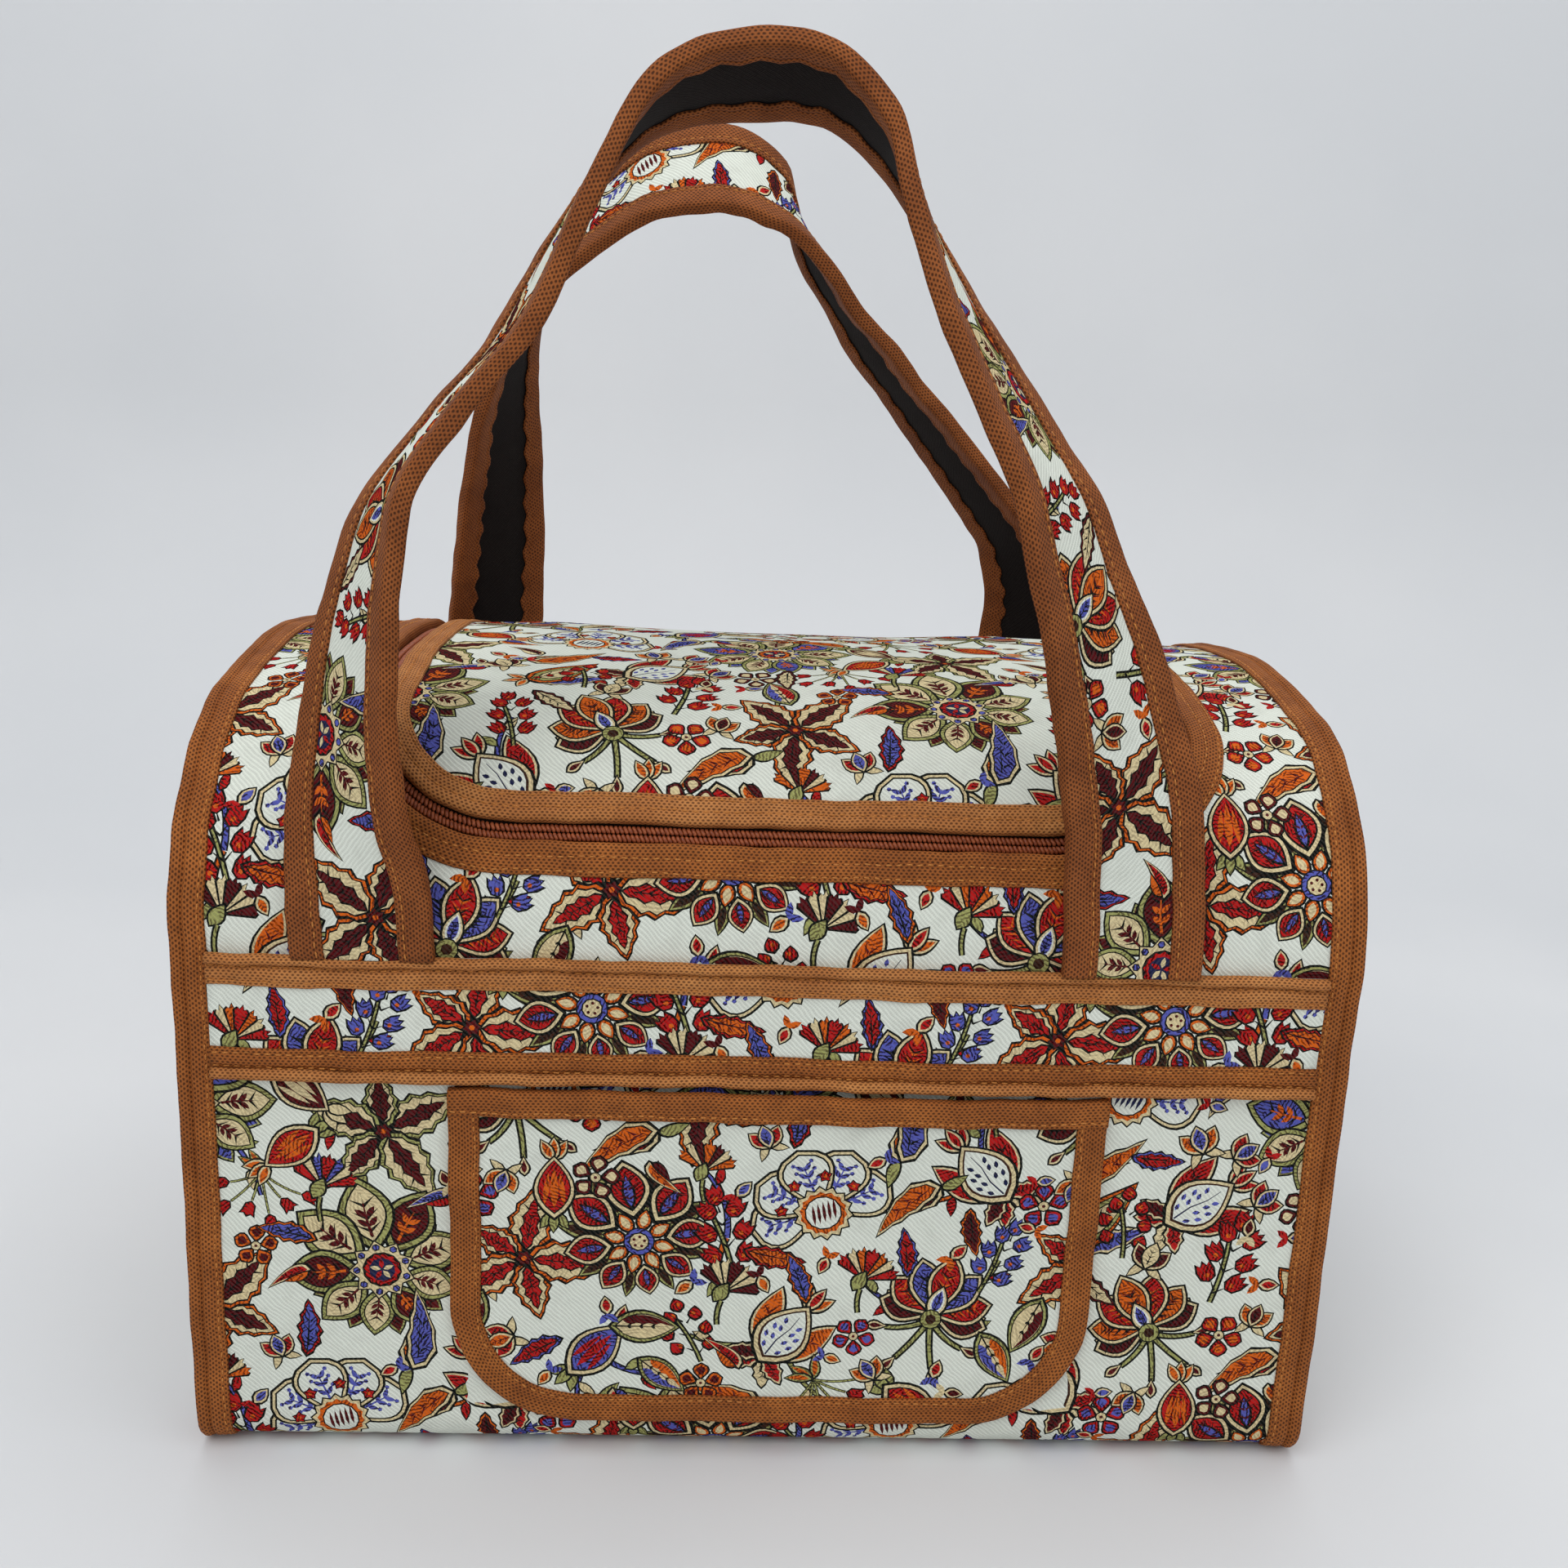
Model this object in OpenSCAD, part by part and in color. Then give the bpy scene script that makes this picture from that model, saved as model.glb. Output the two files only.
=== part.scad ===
// Soft-sided carpet bag with an arched top, a zipped lid, a front pocket and two sewn strap handles.
// The origin is on the floor under the middle of the bag, +Z is up and the front faces -Y.

/* [Bag] */
// Width over the two end tapes
bag_w = 420; // [340:5:520]
// Depth of the cloth from front wall to back wall
bag_d = 296; // [260:2:330]
// Height of the arched top above the floor
bag_h = 290; // [270:2:330]
// Radius of the two shoulders of the arched section
shoulder_r = 82; // [70:1:92]
// Radius of the flatter crown between the shoulders
crown_r = 430; // [380:10:560]
// Radius where the walls turn into the floor
floor_r = 14; // [10:1:20]
// Thickness of the foam-backed cloth
panel_t = 3; // [2:0.25:4]

/* [Tapes] */
// Thickness of the binding tape
tape_t = 1.2; // [0.8:0.1:1.6]
// Width of the tape on each side of the end seams
end_tape_w = 11; // [8:0.5:14]
// Room left between pieces that are sewn together
seam_gap = 0.2; // [0.15:0.05:0.3]

/* [Lid] */
// Width of the lid
lid_w = 290; // [250:2:310]
// Radius of the two front corners of the lid
lid_corner_r = 50; // [35:1:60]
// Cloth distance from the top of the front wall up to the lid's front edge
lid_rise = 49; // [44:0.5:56]
// Width of the tape on the lid's edge
lid_tape_w = 9.5; // [7:0.5:12]
// Width of the tape round the opening
opening_tape_w = 11; // [8:0.5:13]

/* [Zip] */
// Cloth distance between the lid's edge and the opening's edge
zip_gap = 10; // [9.5:0.25:12]
// Width of the closed chain
chain_w = 6; // [5:0.2:6]
// Height of the chain
chain_h = 2.4; // [1.8:0.1:2.8]
// Width of each cloth strip that carries the chain
zip_strip_w = 13; // [11:0.5:16]
// Thickness of those strips
zip_strip_t = 0.6; // [0.4:0.1:0.8]
// Length of zip that runs on behind the lid's fold
tail_l = 34; // [32:1:40]
// Width of the slider
slider_w = 9.4; // [8.5:0.1:10]
// Length of the slider
slider_l = 12; // [10:0.5:13]
// Length of the pull tab from its pivot
tab_l = 22; // [16:1:26]
// Width of the pull tab
tab_w = 6; // [5:0.5:7]

/* [Bands] */
// Height of the printed band across the front and back walls, tapes included
band_h = 48; // [40:1:60]
// Width of the tapes along the band
band_tape_w = 11; // [8:0.5:13]

/* [Pocket] */
// Width of the front pocket
pocket_w = 238; // [180:2:300]
// Radius of its lower corners
pocket_corner_r = 46; // [30:1:55]
// Width of the tape round its edge
pocket_tape_w = 10; // [7:0.5:13]
// How far its middle lies to the right of the bag's middle
pocket_shift = 4; // [-10:1:10]

/* [Handles] */
// Width of the straps
strap_w = 50; // [40:1:56]
// Thickness of each of the strap's two layers
strap_layer_t = 1.4; // [1:0.1:1.8]
// Width of the tape along the strap's edges
strap_tape_w = 12; // [9:0.5:14]
// Distance between the two ends of the front strap
front_span = 269; // [240:1:290]
// Height of the front handle's crest above its sewn ends
front_rise = 296; // [240:2:330]
// How far the front handle's crest leans back
front_lean = 39; // [30:1:42]
// Distance between the two ends of the back strap
back_span = 275; // [240:1:290]
// Height of the back handle's crest above its sewn ends
back_rise = 286; // [240:2:330]
// How far the back handle's crest leans forward
back_lean = 107; // [90:1:115]

/* [Hidden] */

tape_brown = "sienna";
print_cloth = "antiquewhite";
lining_black = "#26242a";
zip_brown = "saddlebrown";
metal = "darkgoldenrod";

// Facets: steps in each rounded stretch of the section, in the lid's corners and between strap points
floor_steps = 4;
shoulder_steps = 14;
crown_steps = 4;
corner_steps = 12;
tail_steps = 8;
strap_steps = 2;

// Tape stands this far off the cloth it is sewn to, and its outer face this far
tape_in = seam_gap;
tape_out = seam_gap + tape_t;

// Section of the bag: floor, floor corner, wall, shoulder and half the crown, then the same mirrored
deg = PI / 180;
half_d = bag_d / 2;
panel_half_w = bag_w / 2 - tape_out;
floor_z = tape_out;
shoulder_y = half_d - shoulder_r;
crown_drop = sqrt(pow(crown_r - shoulder_r, 2) - pow(shoulder_y, 2));
shoulder_z = bag_h - crown_r + crown_drop;
crown_z = bag_h - crown_r;
crown_half = asin(shoulder_y / (crown_r - shoulder_r));
shoulder_turn = 90 - crown_half;
floor_half = half_d - floor_r;
wall_foot = floor_z + floor_r;

// Cloth distances along the section, from the middle of the floor forward and up
corner_end_s = floor_half + floor_r * 90 * deg;
wall_end_s = corner_end_s + shoulder_z - wall_foot;
shoulder_end_s = wall_end_s + shoulder_r * shoulder_turn * deg;
crest_s = shoulder_end_s + crown_r * crown_half * deg;
loop_s = 2 * crest_s;

// Each knot of the section: cloth distance, place and outward direction
half_knots = concat(
    [[0, 0, floor_z, 0, -1], [floor_half, -floor_half, floor_z, 0, -1]],
    [for (i = [1:floor_steps])
        let (a = 90 * i / floor_steps)
        [floor_half + floor_r * a * deg,
            -floor_half - floor_r * sin(a), wall_foot - floor_r * cos(a), -sin(a), -cos(a)]],
    [[wall_end_s, -half_d, shoulder_z, -1, 0]],
    [for (i = [1:shoulder_steps])
        let (a = shoulder_turn * i / shoulder_steps)
        [wall_end_s + shoulder_r * a * deg,
            -shoulder_y - shoulder_r * cos(a), shoulder_z + shoulder_r * sin(a), -cos(a), sin(a)]],
    [for (i = [1:crown_steps])
        let (a = crown_half * (1 - i / crown_steps))
        [crest_s - crown_r * a * deg, -crown_r * sin(a), crown_z + crown_r * cos(a), -sin(a), cos(a)]]);
knots = concat(half_knots,
    [for (i = [len(half_knots) - 2:-1:0])
        let (k = half_knots[i])
        [loop_s - k[0], -k[1], k[2], -k[3], k[4]]]);
y_by_s = [for (k = knots) [k[0], k[1]]];
z_by_s = [for (k = knots) [k[0], k[2]]];
ny_by_s = [for (k = knots) [k[0], k[3]]];
nz_by_s = [for (k = knots) [k[0], k[4]]];

// A point of the cloth at x and distance s along the section, n outside its outer face
function section(s, n) = [
    lookup(s, y_by_s) + n * lookup(s, ny_by_s),
    lookup(s, z_by_s) + n * lookup(s, nz_by_s)];
function cloth(x, s, n) = concat([x], section(s, n));

// Distances between two ends at which the section bends, ends included
close = 0.3;
function bends(s0, s1) = concat(
    [s0], [for (k = knots) if (k[0] > s0 + close && k[0] < s1 - close) k[0]], [s1]);
function sorted(list) = len(list) < 2 ? list :
    let (pivot = list[0])
    concat(sorted([for (v = list) if (v < pivot) v]), [pivot], sorted([for (v = list) if (v > pivot) v]));
function reversed(list) = [for (i = [len(list) - 1:-1:0]) list[i]];
function mirrored(path) = [for (p = reversed(path)) [-p[0], p[1], -p[2], p[3]]];

// Lid and opening in the flat cloth. The lid folds where the crown meets the back shoulder.
lid_half = lid_w / 2;
lid_front_s = wall_end_s + lid_rise;
fold_s = loop_s - shoulder_end_s;
corner_x = lid_half - lid_corner_r;
corner_s = lid_front_s + lid_corner_r;
open_front_s = lid_front_s - zip_gap;
open_half = lid_half + zip_gap;
open_corner_r = lid_corner_r + zip_gap;
chain_x = lid_half + zip_gap / 2;
tail_end_s = fold_s + tail_l;
run_gap = 0.4;
tail_half = slider_w / 2 + run_gap + tape_out;
fold_slit = 0.3;
flare_l = 10;

// A quarter turn from the side of the lid to its front, as place and outward direction
function corner(r, a) = [corner_x + r * cos(a), corner_s - r * sin(a), cos(a), -sin(a)];
lid_side = [for (s = reversed(bends(corner_s, fold_s - fold_slit / 2))) [lid_half, s, 1, 0]];
lid_turn = [for (i = [1:corner_steps]) corner(lid_corner_r, 90 * i / corner_steps)];
lid_path = concat(lid_side, lid_turn, mirrored(concat(lid_side, lid_turn)));

// The opening's edge runs up the tongue behind the fold, round the zip's end, and forward round the lid
tongue_side = [for (s = bends(fold_s + fold_slit / 2, tail_end_s)) [chain_x - tail_half, s, -1, 0]];
tail_turn = [for (i = [1:tail_steps - 1])
    let (a = 180 - 180 * i / tail_steps)
    [chain_x + tail_half * cos(a), tail_end_s + tail_half * sin(a), cos(a), sin(a)]];
tail_side = [for (s = reversed(bends(fold_s, tail_end_s))) [chain_x + tail_half, s, 1, 0]];
open_side = [for (s = reversed(bends(corner_s, fold_s - flare_l))) [open_half, s, 1, 0]];
open_turn = [for (i = [1:corner_steps]) corner(open_corner_r, 90 * i / corner_steps)];
open_right = concat(tongue_side, tail_turn, tail_side, open_side, open_turn);
open_path = concat(open_right, mirrored(open_right));

// Half-width of the lid or the opening at distance s, with its rounded front corners
function half_width(s, r, half) =
    s >= corner_s ? half : corner_x + sqrt(max(0, r * r - pow(corner_s - s, 2)));
function open_edge(s) = s >= fold_s ? chain_x + tail_half :
    s > fold_s - flare_l ? open_half + (chain_x + tail_half - open_half) * (1 - (fold_s - s) / flare_l) :
    s < open_front_s ? corner_x : half_width(s, open_corner_r, open_half);
function corner_rows(r) = [for (i = [1:corner_steps - 1]) corner_s - r * cos(90 * i / corner_steps)];
function near(s, list) = len([for (v = list) if (abs(v - s) < close) v]) > 0;
function rows(s0, s1, more) = sorted(concat([for (s = bends(s0, s1)) if (!near(s, more)) s], more));

// Layers of the zip, measured from the cloth's outer face
strip_top = -panel_t - tape_out - seam_gap;
strip_foot = strip_top - zip_strip_t;
chain_foot = strip_top + seam_gap;
chain_top = chain_foot + chain_h;
chain_split = 0.3;
chain_from = zip_gap / 2 - chain_w / 2;
chain_to = zip_gap / 2 - chain_split / 2;
post_w = 1;
tail_split = post_w + 2 * run_gap;

// Slider and tab, in the slider's own frame: X across the zip, Y towards the zip's end, Z off the cloth
plate_t = 1.2;
plate_foot = chain_top + run_gap;
plate_top = plate_foot + plate_t;
sole_top = strip_foot - run_gap;
cheek_w = 1;
bail_bar_r = 0.8;
bail_y = 1;
bail_w = tab_w + 2 * run_gap + 2 * cheek_w;
tab_t = 1.4;
tab_lift = 0.7;
bail_z = tape_out + tab_lift + tab_t / 2;
tab_hole_gap = 0.3;
tab_eye_wall = 1;
tab_hole_r = bail_bar_r + tab_hole_gap;
tab_eye_r = tab_hole_r + tab_eye_wall;
tab_end_hole_d = 2;
post_l = 3;
stop_l = 2;
slider_s = tail_end_s - stop_l - slider_l / 2;
function tail_angle(s) = crown_half + (s - fold_s) / shoulder_r / deg;
slider_angle = tail_angle(slider_s);
round_fn = 48;

// Bands on the flat walls, just under the shoulders, and the pocket under the front band
band_drop = 0.5;
band_top = shoulder_z - band_drop;
band_foot = band_top - band_h;
band_half_w = panel_half_w - end_tape_w - seam_gap;
band_t = 2;
seam_z = (band_top + band_foot) / 2;
wall_seam_s = corner_end_s + seam_z - wall_foot;
pocket_drop = 2;
pocket_lift = 1;
pocket_foot = wall_foot + pocket_lift;
pocket_h = band_foot - pocket_drop - pocket_foot;
pocket_t = 2;

// Strap routes from the left end over the crest to the right end: share of the half span, of the lean
// and of the rise, then how far the strap has turned its inner edge forward or back, in degrees
front_route = [
    [-1, 0, 0, 0], [-1.008, -0.03, 0.08, 4], [-1.029, -0.04, 0.166, 25], [-1.028, 0.02, 0.261, 39],
    [-1.011, 0.077, 0.354, 46], [-0.98, 0.15, 0.445, 53], [-0.925, 0.229, 0.534, 58],
    [-0.788, 0.367, 0.624, 58], [-0.63, 0.502, 0.714, 60], [-0.489, 0.68, 0.839, 68],
    [-0.364, 0.884, 0.937, 74], [-0.224, 0.973, 0.984, 79], [-0.031, 1, 1, 90], [0.085, 0.995, 0.997, 95],
    [0.176, 0.965, 0.979, 97], [0.287, 0.845, 0.926, 99], [0.356, 0.664, 0.857, 109],
    [0.427, 0.469, 0.786, 118], [0.484, 0.328, 0.734, 124], [0.59, 0.141, 0.649, 131],
    [0.695, -0.036, 0.564, 136], [0.768, -0.096, 0.476, 141], [0.842, -0.118, 0.386, 149],
    [0.906, -0.092, 0.292, 158], [0.962, -0.057, 0.195, 170], [0.989, 0, 0.094, 177], [1, 0, 0, 180]];
back_route = [
    [-1, 0, 0, 0], [-1, 0, 0.09, 4], [-0.99, 0.05, 0.22, 18], [-0.96, 0.15, 0.37, 28],
    [-0.93, 0.3, 0.53, 40], [-0.88, 0.52, 0.69, 56], [-0.74, 0.75, 0.85, 72], [-0.45, 0.95, 0.97, 84],
    [-0.238, 1, 1, 88], [-0.111, 0.995, 0.996, 96], [-0.018, 0.965, 0.976, 103],
    [0.044, 0.927, 0.95, 111], [0.114, 0.842, 0.898, 127], [0.19, 0.749, 0.841, 136],
    [0.296, 0.657, 0.782, 143], [0.401, 0.561, 0.721, 147], [0.526, 0.468, 0.658, 149],
    [0.648, 0.374, 0.592, 150], [0.773, 0.292, 0.524, 151], [0.872, 0.231, 0.467, 151],
    [0.959, 0.176, 0.409, 151], [1.015, 0.12, 0.33, 152], [1.02, 0.06, 0.23, 160], [1.005, 0, 0.1, 176],
    [1, 0, 0, 180]];
front_mid = -8.5;
back_mid = -3.5;
front_edge_lift = 0.36;
back_edge_lift = 1.1;
strap_edge = strap_w / 2 - tape_out;
layer_in = seam_gap / 2;
layer_out = layer_in + strap_layer_t;
strap_half_t = layer_out + tape_out;
strap_y = half_d + seam_gap + strap_half_t;
strap_z = band_top + seam_gap;

// Smooth curve through a route's points
function spline(p0, p1, p2, p3, t) = 0.5 * (2 * p1 + (p2 - p0) * t + (2 * p0 - 5 * p1 + 4 * p2 - p3) * t * t
    + (3 * p1 - p0 - 3 * p2 + p3) * t * t * t);
function smooth(list) = [for (i = [0:len(list) - 2], k = [0:strap_steps - 1])
    spline(list[max(i - 1, 0)], list[i], list[i + 1], list[min(i + 2, len(list) - 1)], k / strap_steps)];
function unit(v) = v / norm(v);

// Strap frames along a route: place, direction of the inner edge and direction of the printed face
function strap_points(route, mid, span, lean, rise, side) = [
    for (p = concat(smooth(route), [route[len(route) - 1]]))
    [mid + p[0] * span / 2, side * (strap_y - p[1] * lean), strap_z + p[2] * rise, p[3]]];
function place(p) = [p[0], p[1], p[2]];
function strap_frames(pts, lift, side) = [for (i = [0:len(pts) - 1])
    let (level = i == 0 || i == len(pts) - 1,
        ahead = place(pts[min(i + 1, len(pts) - 1)]) - place(pts[max(i - 1, 0)]),
        run = level ? [0, 0, sign(ahead[2])] : unit(ahead),
        turn = pts[i][3],
        wish = [cos(turn), side * sin(turn), lift * sin(turn)],
        edge = unit(wish - (wish * run) * run),
        face = -side * cross(edge, run))
    [place(pts[i]), edge, face]];
front_frames = reversed(strap_frames(
    strap_points(front_route, front_mid, front_span, front_lean, front_rise, -1), front_edge_lift, -1));
back_frames = strap_frames(strap_points(back_route, back_mid, back_span, back_lean, back_rise, 1),
    back_edge_lift, 1);

// A sheet laid on the section: rows of [x, s] points, with a cell of cloth wherever the mask is true
module sheet(grid, mask, n0, n1) {
    nr = len(grid) - 1;
    nc = len(grid[0]) - 1;
    function at(i, j, k) = (i * (nc + 1) + j) * 2 + k;
    function there(i, j) = i >= 0 && j >= 0 && i < nr && j < nc && mask[i][j];
    points = [for (row = grid, p = row, n = [n0, n1]) cloth(p[0], p[1], n)];
    faces = [for (i = [0:nr - 1], j = [0:nc - 1]) if (mask[i][j]) each concat(
        [[at(i, j, 1), at(i + 1, j, 1), at(i + 1, j + 1, 1), at(i, j + 1, 1)],
            [at(i, j, 0), at(i, j + 1, 0), at(i + 1, j + 1, 0), at(i + 1, j, 0)]],
        there(i, j - 1) ? [] : [[at(i + 1, j, 1), at(i, j, 1), at(i, j, 0), at(i + 1, j, 0)]],
        there(i, j + 1) ? [] : [[at(i, j + 1, 1), at(i + 1, j + 1, 1), at(i + 1, j + 1, 0), at(i, j + 1, 0)]],
        there(i - 1, j) ? [] : [[at(i, j, 1), at(i, j + 1, 1), at(i, j + 1, 0), at(i, j, 0)]],
        there(i + 1, j) ? [] :
            [[at(i + 1, j + 1, 1), at(i + 1, j, 1), at(i + 1, j, 0), at(i + 1, j + 1, 0)]])];
    polyhedron(points, faces);
}

// A skin over rings of points, capped at both ends. Its diagonals all lean the same way across the profile,
// so that layers on top of each other have matching facets. The caps are strips of four-sided faces.
module loft(rings, profile) {
    nr = len(rings);
    nk = len(profile);
    last = (nr - 1) * nk;
    points = [for (ring = rings, p = ring) p];
    sides = [for (i = [0:nr - 2], k = [0:nk - 1])
        let (next = (k + 1) % nk, a = i * nk + k, b = i * nk + next)
        each profile[next][0] > profile[k][0] ?
            [[a, b, b + nk], [a, b + nk, a + nk]] : [[a, b, a + nk], [b, b + nk, a + nk]]];
    caps = [for (k = [0:nk / 2 - 2])
        let (quad = [(nk - k) % nk, k + 1, k + 2, nk - k - 1])
        each [reversed(quad), [for (v = quad) last + v]]];
    polyhedron(points, concat(sides, caps));
}

// A profile of [outward, off the cloth] points carried along a path in the flat cloth
module edge_run(path, profile) {
    loft([for (p = path) [for (q = profile) cloth(p[0] + q[0] * p[2], p[1] + q[0] * p[3], q[1])]], profile);
}

// A profile of [towards the inner edge, towards the printed face] points carried along strap frames
module strap_run(frames, profile) {
    loft([for (f = frames) [for (q = profile) f[0] + q[0] * f[1] + q[1] * f[2]]], profile);
}

function flat_profile(a0, a1, n0, n1) = [[a0, n0], [a0, n1], [a1, n1], [a1, n0]];

// Tape folded round the edge of a sheet that lies at a < 0 between n0 and n1, its legs bent at given places
function fold_profile(legs, n0, n1) = concat(
    [[legs[0], n1 + tape_in]],
    [for (a = legs) [a, n1 + tape_out]],
    [[tape_out, n1 + tape_out], [tape_out, n0 - tape_out]],
    [for (a = reversed(legs)) [a, n0 - tape_out]],
    [for (a = legs) [a, n0 - tape_in]],
    [[tape_in, n0 - tape_in], [tape_in, n1 + tape_in]],
    [for (i = [len(legs) - 1:-1:1]) [legs[i], n1 + tape_in]]);
function flipped(profile) = [for (i = [0:len(profile) - 1])
    let (q = profile[(1 - i + len(profile)) % len(profile)])
    [-q[0], q[1]]];

// The section's outline, n outside the cloth, and a stretch of the wall as a flat strip
module outline(n) {
    polygon([for (i = [0:len(knots) - 2]) section(knots[i][0], n)]);
}

module along_x(x0, x1) {
    translate([x0, 0, 0]) rotate([90, 0, 90]) linear_extrude(x1 - x0) children();
}

// A flat piece on the front wall (side -1) or back wall (side 1)
module on_wall(side, half_w, z0, z1, n0, n1) {
    translate([-half_w, side < 0 ? -half_d - n1 : half_d + n0, z0]) cube([2 * half_w, n1 - n0, z1 - z0]);
}

module lower_panel() color(print_cloth) {
    half = [for (s = bends(0, wall_seam_s)) if (s > 0) s];
    run = concat(reversed(half), [for (s = half) loop_s - s]);
    along_x(-panel_half_w, panel_half_w)
        polygon(concat([for (s = run) section(s, 0)], [for (s = reversed(run)) section(s, -panel_t)]));
    translate([-band_half_w, -floor_half, 0]) cube([2 * band_half_w, 2 * floor_half, floor_z + panel_t / 2]);
}

module upper_panel() color(print_cloth) {
    s0 = wall_seam_s + seam_gap;
    s1 = loop_s - s0;
    tongue_s = fold_s + fold_slit / 2;
    stops = [open_front_s, fold_s - flare_l, tongue_s, tail_end_s + tail_half];
    list = rows(s0, s1, concat(corner_rows(open_corner_r), stops));
    tongue = chain_x - tail_half;
    grid = [for (s = list)
        let (edge = open_edge(s), inner = s < fold_s ? edge / 2 : tongue)
        [[-panel_half_w, s], [-edge, s], [-inner, s], [inner, s], [edge, s], [panel_half_w, s]]];
    mask = [for (i = [0:len(list) - 2])
        let (s = (list[i] + list[i + 1]) / 2,
            mouth = s > open_front_s && s < tongue_s,
            slots = s > open_front_s && s < tail_end_s + tail_half)
        [true, !slots, !mouth, !slots, true]];
    sheet(grid, mask, -panel_t, 0);
}

module end_panel(side) color(print_cloth) {
    x0 = side * (panel_half_w - panel_t / 2);
    along_x(x0 - panel_t / 2, x0 + panel_t / 2) outline(-panel_t - seam_gap);
}

module end_binding(side) color(tape_brown) mirror([side < 0 ? 1 : 0, 0, 0]) {
    along_x(panel_half_w - end_tape_w, panel_half_w + tape_out) difference() {
        outline(tape_out);
        outline(tape_in);
    }
    along_x(panel_half_w + tape_in, panel_half_w + tape_out) difference() {
        outline(tape_out);
        outline(-end_tape_w);
    }
}

module lid_panel() color(print_cloth) {
    list = rows(lid_front_s, fold_s - fold_slit / 2, corner_rows(lid_corner_r));
    grid = [for (s = list) let (x = half_width(s, lid_corner_r, lid_half)) [[-x, s], [x, s]]];
    sheet(grid, [for (i = [0:len(list) - 2]) [true]], -panel_t, 0);
}

module lid_binding() color(tape_brown)
    edge_run(lid_path, fold_profile([-lid_tape_w, -lid_tape_w / 2], -panel_t, 0));

module opening_binding() color(tape_brown)
    edge_run(open_path, flipped(fold_profile([-opening_tape_w, -opening_tape_w / 2], -panel_t, 0)));

module lid_zip_strip() color(zip_brown)
    edge_run(lid_path, flat_profile(chain_to - zip_strip_w, chain_to - chain_split, strip_foot, strip_top));

module lid_zip_chain() color(zip_brown)
    edge_run(lid_path, flat_profile(chain_from, chain_to, chain_foot, chain_top));

// The opening's half of the zip, from the fold forward round the lid
zip_side = [for (s = reversed(bends(corner_s, fold_s - fold_slit / 2))) [open_half, s, 1, 0]];
zip_path = concat(zip_side, open_turn, mirrored(concat(zip_side, open_turn)));
tail_run = bends(fold_s + fold_slit / 2, tail_end_s);

// Both halves of the zip behind the fold, on either side of the slider's post
module tail_pair(from, to, n0, n1) {
    for (end = [-1, 1], half = [-1, 1])
        edge_run([for (s = half > 0 ? reversed(tail_run) : tail_run) [end * chain_x, s, half, 0]],
            flat_profile(from, to, n0, n1));
}

module body_zip_strip() color(zip_brown) {
    edge_run(zip_path, flat_profile(-chain_to + chain_split, zip_strip_w - chain_to, strip_foot, strip_top));
    tail_pair(tail_split / 2, tail_half + opening_tape_w / 2, strip_foot, strip_top);
}

module body_zip_chain() color(zip_brown) {
    edge_run(zip_path, flat_profile(-chain_to, -chain_from, chain_foot, chain_top));
    tail_pair(tail_split / 2, chain_w / 2, chain_foot, chain_top);
}

// Puts a piece in the slider's frame at a cloth distance on the back shoulder
module on_tail(x, angle) {
    translate([x, shoulder_y, shoulder_z]) rotate([-angle, 0, 0]) translate([0, 0, shoulder_r]) children();
}

// Stops across both chain halves at each end of the zip
module zip_stops() color(metal)
    for (end = [-1, 1])
        on_tail(end * chain_x, tail_angle(tail_end_s + seam_gap))
            translate([-chain_w / 2, 0, chain_foot]) cube([chain_w, stop_l, chain_h]);

module zip_slider() color(metal) on_tail(chain_x, slider_angle) {
    bail_top = bail_z + bail_bar_r;
    translate([-slider_w / 2, -slider_l / 2, plate_foot]) cube([slider_w, slider_l, plate_t]);
    translate([-slider_w / 2, -slider_l / 2, sole_top - plate_t]) cube([slider_w, slider_l, plate_t]);
    translate([-post_w / 2, slider_l / 2 - post_l, sole_top - plate_t / 2])
        cube([post_w, post_l, plate_foot - sole_top + plate_t]);
    for (side = [-1, 1]) {
        translate([side * (slider_w - cheek_w) / 2 - cheek_w / 2, -slider_l / 2, chain_foot + run_gap])
            cube([cheek_w, slider_l, plate_foot - chain_foot]);
        translate([side * (bail_w - cheek_w) / 2 - cheek_w / 2, bail_y - bail_bar_r, plate_top - plate_t / 2])
            cube([cheek_w, 2 * bail_bar_r, bail_top - plate_top + plate_t / 2]);
    }
    translate([-bail_w / 2, bail_y, bail_z]) rotate([0, 90, 0])
        cylinder(r = bail_bar_r, h = bail_w, $fn = round_fn);
}

module zip_pull_tab() color(metal)
    on_tail(chain_x, slider_angle) translate([0, bail_y, bail_z]) difference() {
        union() {
            translate([-tab_w / 2, 0, 0]) rotate([0, 90, 0])
                cylinder(r = tab_eye_r, h = tab_w, $fn = round_fn);
            translate([-tab_w / 2, 0, -tab_t / 2]) cube([tab_w, tab_l - tab_w / 2, tab_t]);
            translate([0, tab_l - tab_w / 2, -tab_t / 2]) cylinder(d = tab_w, h = tab_t, $fn = round_fn);
        }
        translate([-tab_w, 0, 0]) rotate([0, 90, 0])
            cylinder(r = tab_hole_r, h = 2 * tab_w, $fn = round_fn);
        translate([0, tab_l - tab_w / 2, -tab_t]) cylinder(d = tab_end_hole_d, h = 2 * tab_t, $fn = round_fn);
    }

module band(side) color(print_cloth)
    on_wall(side, band_half_w, band_foot + tape_out, band_top - tape_out, seam_gap, seam_gap + band_t);

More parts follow.
